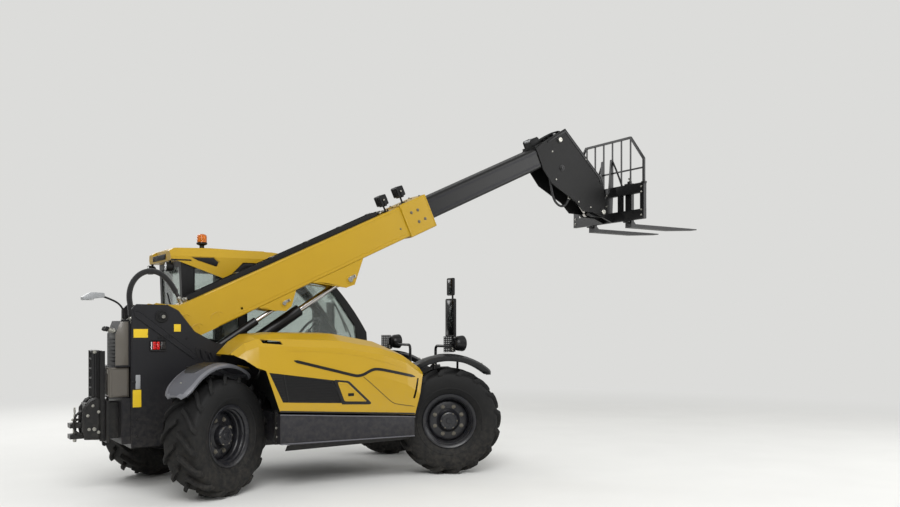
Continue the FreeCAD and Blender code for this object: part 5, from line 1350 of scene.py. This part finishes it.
def make_head_details():
    tilt = machine_to_boom(4760, 2705)
    ends, keepers, rows = [], [], []
    for y, out in ((HEAD_RIGHT, -1), (HEAD_LEFT, 1)):
        for (u, v), r, past, pins in (((4791, -37), 26, 10, ends), ((4690, -330), 22, 8, keepers),
                                      (tilt, 28, 12, ends)):
            pins.append(copy_away(pin_end(r), aim(u, y + out * past, v, (0, out, 0))))
            collar = turned("collar", [(r + 0.5, -2), (r + 13, -2), (r + 13, 4), (r + 10, 7), (r + 0.5, 7),
                                       (r + 0.5, -2)], 36)
            keepers.append(copy_away(collar, aim(u, y, v, (0, out, 0))))
        rows += [(u, y, v, (0, out, 0), 7) for u, v in ((4640, -120), (4560, -420), (4760, -760),
                                                       (5060, -360), (4900, -880))]
        stiff = panel("edge_plate", [(4612, 8), (4915, 38), (5172, -610), (5172, -690), (5150, -690), (5150, -614),
                                     (4900, 14), (4614, -12)], *sorted((y, y + out * 5)))
        soften(stiff, 2)
        keepers.append(stiff)
    done(join("head_pin_ends", ends), "extension", zinc, BOOM)
    done(join("head_plates_trim", keepers), "extension", black, BOOM)
    done(bolts("head_bolts", rows), "extension", zinc, BOOM)
    rollers = []
    for u in (4462, 4538):
        roller = turned("roller", [(0.4, -54), (12, -54), (16, -50), (16, 50), (12, 54), (0.4, 54)], 28)
        rollers.append(copy_away(roller, aim(u, -77.5, 74, (0, 1, 0))))
    done(join("hose_guide_rollers", rollers), "extension", pale_plastic, BOOM)
    cheeks = []
    for y in (-77.5 - 62, -77.5 + 62):
        cheek = panel("cheek", [(4436, 12), (4436, 74), (4452, 92), (4548, 92), (4564, 74), (4564, 12)], y - 4, y + 4)
        soften(cheek, 2)
        cheeks.append(cheek)
    for u, v in ((4650, 34), (4720, 40), (4790, 46)):
        clip = block("clip", (u - 10, -120, v - 26), (u + 10, -35, v + 2))
        soften(clip, 4)
        cheeks.append(clip)
    done(join("hose_guide_cheeks", cheeks), "extension", plastic, BOOM)
    head_pipes = [pipe("pipe", [(4564, y, 30), (4640, y, 42), (4780, y, 52), (4880, y, 52), (4925, y, 28),
                                (4965, y, -80), (5060, y, -320), (5130, y, -500)], 9, 3) for y in (-110, -78, -46)]
    done(join("head_pipes", head_pipes), "extension", plastic, BOOM)
    slides = []
    for y in (-150, -77.5, -5):
        strip = block("strip", (2890, y - 9, -15), (4420, y + 9, -12))
        soften(strip, 1.2)
        slides.append(strip)
    for y, out in ((-191.5, -1), (36.5, 1)):
        for v in (-62, -190):
            ys = sorted((y - out * 1, y + out * 1.6))
            strip = block("strip", (2890, ys[0], v - 9), (4430, ys[1], v + 9))
            soften(strip, 0.8, 1)
            slides.append(strip)
    done(join("extension_slides", slides), "extension", worn_steel, BOOM)


def make_carriage_details():
    bar_x, rows = 4977, []
    for y in (-620, -420, -180, 25, 265, 465):
        rows.append((bar_x, y, 2948, (1, 0, 0), 9))
        rows.append((bar_x, y, 2653, (1, 0, 0), 9))
    rows += [(4934, y, z, (-1, 0, 0), 9) for y in (-640, 485) for z in (2640, 2700, 2900, 2960)]
    rows += [(4850, y, z, (0, out, 0), 8) for y, out in ((-167.5, -1), (12.5, 1)) for z in (2900, 2780)]
    done(bolts("carriage_bolts", rows), "carriage", zinc)
    hooks, latches = [], []
    for s in (-1, 1):
        y = -77.5 + s * 313
        body = block("latch", (4984, y - 26, 3020), (5010, y + 26, 3052))
        soften(body, 4)
        hooks.append(body)
        knob = turned("knob", [(0.4, 0), (8, 0), (8, 22), (16, 26), (18, 34), (14, 40), (0.4, 42)], 20)
        latches.append(copy_away(knob, aim(4997, y, 3050, (0, 0, 1))))
        lower = block("lower_hook", (4930, y - 40, 2576), (4978, y + 40, 2600))
        soften(lower, 5)
        hooks.append(lower)
    done(join("fork_hooks", hooks), "carriage", black)
    done(join("fork_latches", latches), "carriage", zinc)
    y0, y1 = -677.5, 522.5
    tube = [(4949, y0 + 12, 3000), (4949, y0 + 12, 3180), (4949, y0 + 12, 3268), (4949, y0 + 60, 3322),
            (4949, -462.5 + 0, 3532), (4949, -420, 3538), (4949, 265, 3538), (4949, 307.5, 3532),
            (4949, y1 - 60, 3322), (4949, y1 - 12, 3268), (4949, y1 - 12, 3180), (4949, y1 - 12, 3000)]
    hoop = pipe("guard_hoop", tube, 12.5, 5)
    feet = []
    for y in (y0 + 12, y1 - 12):
        foot = block("foot", (4930, y - 26, 2990), (4972, y + 26, 3016))
        soften(foot, 4)
        feet.append(foot)
    brace = [pipe("brace", [(4945, -77.5 + s * 75, 3330), (4949, -77.5 + s * 160, 3180), (4950, -77.5 + s * 235, 3010)],
                  11, 4) for s in (-1, 1)]
    done(join("guard_hoop", [hoop] + feet + brace), "carriage", black)
    knees = []
    for s in (-1, 1):
        y = -77.5 + s * 313
        wear = block("wear", (5030, y - 46, 2558.5), (5960, y + 46, 2561.5))
        soften(wear, 1)
        knees.append(wear)
    done(join("fork_wear_faces", knees), "carriage", worn_steel)


# ---------------------------------------------------------------- cab

SEAT_Y = 505


def cushion(name, low, high, fill, squeeze=12):
    """A crowned seat pad, its edges rounded off."""
    pad = block(name, low, high)
    only(pad)
    bpy.ops.object.mode_set(mode="EDIT")
    bpy.ops.mesh.select_all(action="SELECT")
    bpy.ops.mesh.subdivide(number_cuts=5)
    close()
    middle = (Vector(low) + Vector(high)) / 2 * MM
    half = (Vector(high) - Vector(low)) / 2 * MM
    for corner in pad.data.vertices:
        off = corner.co - middle
        share = Vector((off.x / half.x, off.y / half.y, off.z / half.z))
        edge = max(abs(share.x), abs(share.y))
        pull = 1 - 0.05 * edge ** 4
        corner.co = middle + Vector((off.x * pull, off.y * pull, off.z * (1.0 - 0.22 * edge ** 3)))
    bend = pad.modifiers.new("round", "SUBSURF")
    bend.levels = 2
    bend.render_levels = 2
    only(pad)
    bpy.ops.object.modifier_apply(modifier="round")
    return pad


def make_cab_inside():
    base = block("seat_base", (700, SEAT_Y - 150, 686), (960, SEAT_Y + 150, 930))
    soften(base, 16, 3)
    bellows = [block("fold", (690 + i % 2 * 8, SEAT_Y - 160 + i % 2 * 8, 800 + i * 26),
                     (970 - i % 2 * 8, SEAT_Y + 160 - i % 2 * 8, 822 + i * 26)) for i in range(5)]
    for fold in bellows:
        soften(fold, 6)
    rails = [block("rail", (680, SEAT_Y + s * 140 - 14, 928), (1010, SEAT_Y + s * 140 + 14, 950)) for s in (-1, 1)]
    done(join("seat_base", [base] + bellows + rails), "chassis", plastic)
    seat = cushion("seat_cushion", (692, SEAT_Y - 242, 948), (1088, SEAT_Y + 242, 1068), 0.7)
    back = cushion("seat_back", (0, -232, 0), (88, 232, 590), 0.7)
    swing = Matrix.Translation(Vector((660, SEAT_Y, 1040)) * MM) @ Matrix.Rotation(math.radians(-10), 4, "Y")
    copy_away(back, swing)
    head = cushion("head_rest", (0, -130, 0), (76, 130, 150), 0.8)
    copy_away(head, Matrix.Translation(Vector((572, SEAT_Y, 1650)) * MM) @ Matrix.Rotation(math.radians(-8), 4, "Y"))
    for pad, fill in ((seat, 0.7), (back, 0.7), (head, 0.8)):
        done(pad, "chassis", cloth, corner=80)
    arms = [block("arm_rest", (700, SEAT_Y + s * 285 - 26, 1180), (980, SEAT_Y + s * 285 + 26, 1222)) for s in (-1, 1)]
    links = [block("link", (690, SEAT_Y + s * 262 - 10, 1000), (720, SEAT_Y + s * 262 + 10, 1200)) for s in (-1, 1)]
    for part in arms:
        soften(part, 14, 4)
    for part in links:
        soften(part, 4)
    done(join("seat_arms", arms + links), "chassis", plastic)
    hub = Vector((1410, SEAT_Y, 1338))
    tilt = Vector((-200, 0, 156)).normalized()
    bpy.ops.object.select_all(action="DESELECT")
    bpy.ops.mesh.primitive_torus_add(major_radius=0.172, minor_radius=0.013, major_segments=56, minor_segments=14)
    rim = named("rim")
    spokes = [pipe("spoke", [(0, 0, -8), (90 * math.cos(t), 90 * math.sin(t), -10), (170 * math.cos(t),
                                                                                     170 * math.sin(t), 0)], 9, 4)
              for t in (math.radians(90), math.radians(210), math.radians(330))]
    boss = turned("boss", [(0.4, -26), (34, -26), (40, -14), (38, 4), (30, 10), (0.4, 12)], 32)
    knob = turned("knob", [(0.4, 10), (9, 10), (10, 26), (20, 32), (22, 46), (15, 56), (0.4, 58)], 24)
    copy_away(knob, Matrix.Translation(Vector((150, 70, 0)) * MM))
    wheel = join("steering_wheel", [rim, boss, knob] + spokes)
    done(wheel, "chassis", plastic, MACHINE @ aim(*hub, tilt))
    column = pipe("steering_column", [(1620, SEAT_Y, 1150), (1560, SEAT_Y, 1215), (1424, SEAT_Y, 1326)], 26, 5)
    gaiter = drum("gaiter", (1625, SEAT_Y, 1150), (1570, SEAT_Y, 1205), 56, 28, 34)
    soften(gaiter, 6)
    stalks = [pipe("stalk", [(1470, SEAT_Y + s * 20, 1290), (1450, SEAT_Y + s * 110, 1300),
                             (1440, SEAT_Y + s * 150, 1312)], 6, 4) for s in (-1, 1)]
    cowl = panel("cowl", [(1602, 935), (1562, 1178), (1574, 1206), (1600, 1226), (1640, 1220), (1696, 1198),
                          (1716, 1164), (1716, 935)], 192, 818)
    soften(cowl, 12, 3)
    legs = block("dash_leg", (1630, 330, 686), (1716, 680, 940))
    soften(legs, 8)
    hood_screen = block("gauge_hood", (1560, SEAT_Y - 130, 1216), (1660, SEAT_Y + 130, 1262))
    taper_face(hood_screen, (0, 0, 1), (0.6, 0.86, 1))
    soften(hood_screen, 10, 3)
    frame_face(hood_screen, (-1, 0, 0.4), 10, -6)
    done(join("dash_board", [cowl, legs, column, gaiter, hood_screen] + stalks), "chassis", plastic)
    console = block("side_console", (764, 180, 1002), (1146, 246, 1098))
    soften(console, 18, 4)
    leg = block("leg", (802, 182, 926), (1098, 238, 1006))
    lever = turned("lever", [(0.4, 0), (24, 0), (22, 12), (10, 22), (8, 70), (16, 84), (24, 110), (22, 140), (0.4, 146)], 28)
    copy_away(lever, Matrix.Translation(Vector((1080, 214, 1094)) * MM))
    switches = [block("switch", (800 + i * 34, 196, 1094), (822 + i * 34, 232, 1106)) for i in range(6)]
    for part in switches:
        soften(part, 3)
    done(join("side_console", [console, leg, lever] + switches), "chassis", plastic)
    pedals = []
    for y in (SEAT_Y - 110, SEAT_Y + 120):
        pad = block("pedal", (1520, y - 36, 740), (1532, y + 36, 830))
        soften(pad, 4)
        arm = pipe("pedal_arm", [(1532, y, 786), (1580, y, 790), (1640, y, 860)], 8, 3)
        pedals += [pad, arm]
    done(join("pedals", pedals), "chassis", black)
    mat = block("floor_mat", (660, 320, 684), (1600, 800, 692))
    soften(mat, 3)
    done(mat, "chassis", rubber)
    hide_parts("cab_interior")
    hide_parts("cab_interior")


def edge_strip(name, corners, y, out, wide):
    """A rubber window seal that follows the opening's edge, standing proud of the post."""
    runs = []
    for a, b in zip(corners, corners[1:] + corners[:1]):
        runs.append(pipe("run", [(a[0], y, a[1]), ((a[0] + b[0]) / 2, y, (a[1] + b[1]) / 2), (b[0], y, b[1])],
                         wide, 3))
    return runs


def make_cab_outside():
    seals = []
    side_window = [(640, 1240), (640, 1920), (1290, 1920), (1520, 1720), (1760, 1400), (1790, 1240)]
    rear_quarter = [(150, 1260), (150, 1920), (560, 1920), (560, 1260)]
    for corners in (side_window, rear_quarter):
        seals += edge_strip("seal", corners, 129, -1, 6)
    seals += edge_strip("seal", rear_quarter, 881, 1, 6)
    done(join("window_seals", seals), "chassis", rubber)
    recess = panel("roof_recess", [(124, 2015), (322, 2018), (370, 1979), (350, 1939), (184, 1989)], 112, 118)
    soften(recess, 3)
    done(recess, "chassis", plastic)
    front = panel("roof_front_recess", [(462, 1850), (600, 1970), (640, 1984), (1290, 1984), (1330, 1960), (660, 1948)],
                  122, 129)
    soften(front, 2)
    done(front, "chassis", plastic)
    vents = [block("vent", (-73, 290 + i * 44, 2000), (-60, 322 + i * 44, 2050)) for i in range(10)]
    for part in vents:
        soften(part, 4)
    gutter = pipe("gutter", [(-62, 112, 1990), (100, 108, 1990), (118, 108, 1988)], 6, 3)
    done(join("roof_rear_vents", vents + [gutter]), "chassis", plastic)
    ribs = []
    for y in (300, 440, 580, 720):
        rib = block("rib", (240, y - 22, 2100), (880, y + 22, 2114))
        taper_face(rib, (0, 0, 1), (0.96, 0.5, 1))
        soften(rib, 5, 3)
        ribs.append(rib)
    done(join("roof_ribs", ribs), "chassis", yellow)
    arm = pipe("arm", [(1905, SEAT_Y, 1196), (1930, SEAT_Y + 20, 1240), (1908, SEAT_Y + 150, 1420),
                       (1832, SEAT_Y + 230, 1620)], 7, 3)
    blade = pipe("blade", [(1908, SEAT_Y + 120, 1330), (1880, SEAT_Y + 190, 1500), (1800, SEAT_Y + 262, 1700)], 8, 3)
    motor = drum("motor", (1896, SEAT_Y, 1192), (1924, SEAT_Y, 1192), 22, 24)
    soften(motor, 4)
    rear_arm = pipe("rear_arm", [(56, 320, 1258), (44, 340, 1300), (26, 400, 1480), (16, 430, 1560)], 6, 3)
    rear_blade = pipe("rear_blade", [(34, 330, 1400), (24, 410, 1540), (14, 520, 1700)], 7, 3)
    done(join("wipers", [arm, blade, motor, rear_arm, rear_blade]), "chassis", plastic)
    grab = [pipe("grab", [(600 + dx, 884, z0), (600 + dx, 922, z0 + 20), (600 + dx, 922, (z0 + z1) / 2),
                          (600 + dx, 922, z1 - 20), (600 + dx, 884, z1)], 11, 4)
            for dx, z0, z1 in ((-10, 1180, 1620),)]
    done(join("cab_grab_bar", grab), "chassis", black)
    spots = [(x, 881, z, (0, 1, 0), 7) for x, z in ((130, 1230), (330, 1230), (540, 1230), (130, 1950), (540, 1950))]
    spots += [(x, 129, z, (0, -1, 0), 7) for x, z in ((600, 1270), (600, 1880), (120, 1230), (120, 1950))]
    done(bolts("cab_bolts", spots), "chassis", black)
    pull = block("door_pull", (1380, 884, 1040), (1440, 900, 1130))
    soften(pull, 6, 3)
    frame_face(pull, (0, 1, 0), 8, -6)
    gasket = []
    for x0, z0, x1, z1 in ((648, 706, 648, 1928), (648, 706, 1612, 706), (1612, 706, 1612, 1168)):
        gasket.append(pipe("gasket", [(x0, 881, z0), ((x0 + x1) / 2, 881, (z0 + z1) / 2), (x1, 881, z1)], 5, 3))
    done(join("door_trim", [pull] + gasket), "door", plastic)


# ---------------------------------------------------------------- axles and underside

def make_running_gear():
    for name, x in (("rear", 0), ("front", 2400)):
        cover = turned("cover", [(0.4, -110), (60, -110), (78, -108), (84, -104), (84, -98), (0.4, -98)], 40)
        copy_away(cover, Matrix.Translation(Vector((x, 0, 500)) * MM) @ Matrix.Rotation(math.pi / 2, 4, "Y"))
        yoke = turned("yoke", [(0.4, 118), (44, 118), (44, 132), (30, 138), (30, 160), (0.4, 162)], 32)
        copy_away(yoke, Matrix.Translation(Vector((x, 0, 500)) * MM) @ Matrix.Rotation(math.pi / 2, 4, "Y"))
        if name == "rear":
            # The rear tie rod runs where the yoke would be.
            bpy.data.objects.remove(yoke)
        done(join("axle_covers_" + name, [cover] if name == "rear" else [cover, yoke]), "chassis", cast)
        ring = [(x - 109, 70 * math.cos(t), 500 + 70 * math.sin(t), (-1, 0, 0), 6)
                for t in (math.pi * k / 5 for k in range(10))]
        ring += [(x + dx, s * 187, 560, (0, 0, -1), 9) for dx in (-45, 45) for s in (-1, 1)]
        done(bolts("axle_bolts_" + name, ring), "chassis", zinc)
        caps = []
        for s in (-1, 1):
            cap = turned("cap", [(0.4, 0), (34, 0), (34, 6), (28, 10), (0.4, 10)], 28)
            caps.append(copy_away(cap, aim(x, s * 560, 649, (0, 0, 1))))
        done(join("kingpin_caps_" + name, caps), "chassis", cast)
    drive = pipe("drive_shaft", [(160, 0, 500), (700, 0, 470), (1200, 0, 440), (1800, 0, 470), (2240, 0, 500)], 26, 5)
    done(drive, "chassis", cast)


make_fenders()
make_road_lamps()
make_roof_lamps()
make_beacon()
make_plate_lamp()
make_tail_lamps()
for lamp_part in [ob for ob in bpy.data.objects if "lamp" in ob.name and ob.name.startswith("road_lamp_right")]:
    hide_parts("lamps")
make_mirrors()
make_hood_trim()
make_grille()
make_skirt()


make_tower_details()
make_rear_end()
make_hitch()
make_boom_details()
make_tray_details()
make_work_lamps()
make_head_details()
make_carriage_details()


make_cab_inside()
make_cab_outside()
make_running_gear()


# ---------------------------------------------------------------- floor and light

def light(name, size, power, place, target):
    bpy.ops.object.light_add(type="AREA", location=place)
    lamp = bpy.context.object
    lamp.name = name
    lamp.data.shape = "DISK"
    lamp.data.size = size
    lamp.data.energy = power
    lamp.rotation_euler = (Vector(target) - Vector(place)).to_track_quat("-Z", "Y").to_euler()
    return lamp


def make_studio():
    bpy.ops.object.select_all(action="DESELECT")
    bpy.ops.mesh.primitive_plane_add(size=160, location=(0, 0, 0))
    floor = bpy.context.object
    floor.name = "floor"
    paint = bpy.data.materials.new("pale_floor")
    paint.use_nodes = True
    tree = paint.node_tree
    shader = tree.nodes["Principled BSDF"]
    shader.inputs["Roughness"].default_value = 0.9
    place = add(tree, "TexCoord", {}).outputs["Object"]
    mottle = add(tree, "TexNoise", {"Scale": 1.5, "Detail": 5.0}, [("Vector", place)])
    tone = add(tree, "Mix", {"data_type": "RGBA", 6: colour("D9D9D7"), 7: colour("E1E1DF")},
               [(0, mottle.outputs["Fac"])])
    tree.links.new(tone.outputs[2], shader.inputs["Base Color"])
    # Far from the machine the floor is seen as the background, so that no horizon shows.
    away = add(tree, "VectorMath", {"operation": "LENGTH"}, [(0, place)])
    fade = add(tree, "MapRange", {"interpolation_type": "SMOOTHSTEP", "From Min": 4.5, "From Max": 11.0},
               [("Value", away.outputs["Value"])])
    seen_by = add(tree, "LightPath", {})
    far = add(tree, "Math", {"operation": "MULTIPLY"},
              [(0, fade.outputs["Result"]), (1, seen_by.outputs["Is Camera Ray"])])
    backdrop = add(tree, "Emission", {"Color": colour("DEDEDC"), "Strength": 0.98})
    mixed = add(tree, "MixShader", {}, [(0, far.outputs[0]), (1, shader.outputs[0]), (2, backdrop.outputs[0])])
    tree.links.new(mixed.outputs[0], tree.nodes["Material Output"].inputs["Surface"])
    floor.data.materials.append(paint)
    world = bpy.data.worlds.new("pale_room")
    scene.world = world
    world.use_nodes = True
    tree = world.node_tree
    seen = tree.nodes["Background"]
    path = add(tree, "LightPath", {})
    rays = add(tree, "Math", {"operation": "MAXIMUM"},
               [(0, path.outputs["Is Camera Ray"]), (1, path.outputs["Is Transmission Ray"])])
    high = add(tree, "TexCoord", {}).outputs["Generated"]
    height = add(tree, "SeparateXYZ", {}, [("Vector", high)])
    sky = add(tree, "MapRange", {"From Min": -0.15, "From Max": 0.7, "To Min": 0.42, "To Max": 0.95},
              [("Value", height.outputs["Z"])])
    seen.inputs["Color"].default_value = colour("DEDEDC")
    strength = add(tree, "Mix", {"data_type": "FLOAT", 3: 0.98},
                   [(0, rays.outputs[0]), (2, sky.outputs["Result"])])
    tree.links.new(strength.outputs[0], seen.inputs["Strength"])
    light("key", 7.0, 900, spot(-2500, -8500, 7500), spot(1500, 0, 1200))
    light("front", 6.0, 260, spot(9500, -6000, 4200), spot(2500, 0, 1200))
    light("left", 7.0, 400, spot(-1500, 8500, 6500), spot(1500, 0, 1200))


make_studio()
scene.view_settings.view_transform = "Standard"
bpy.data.objects.remove(BOLT)
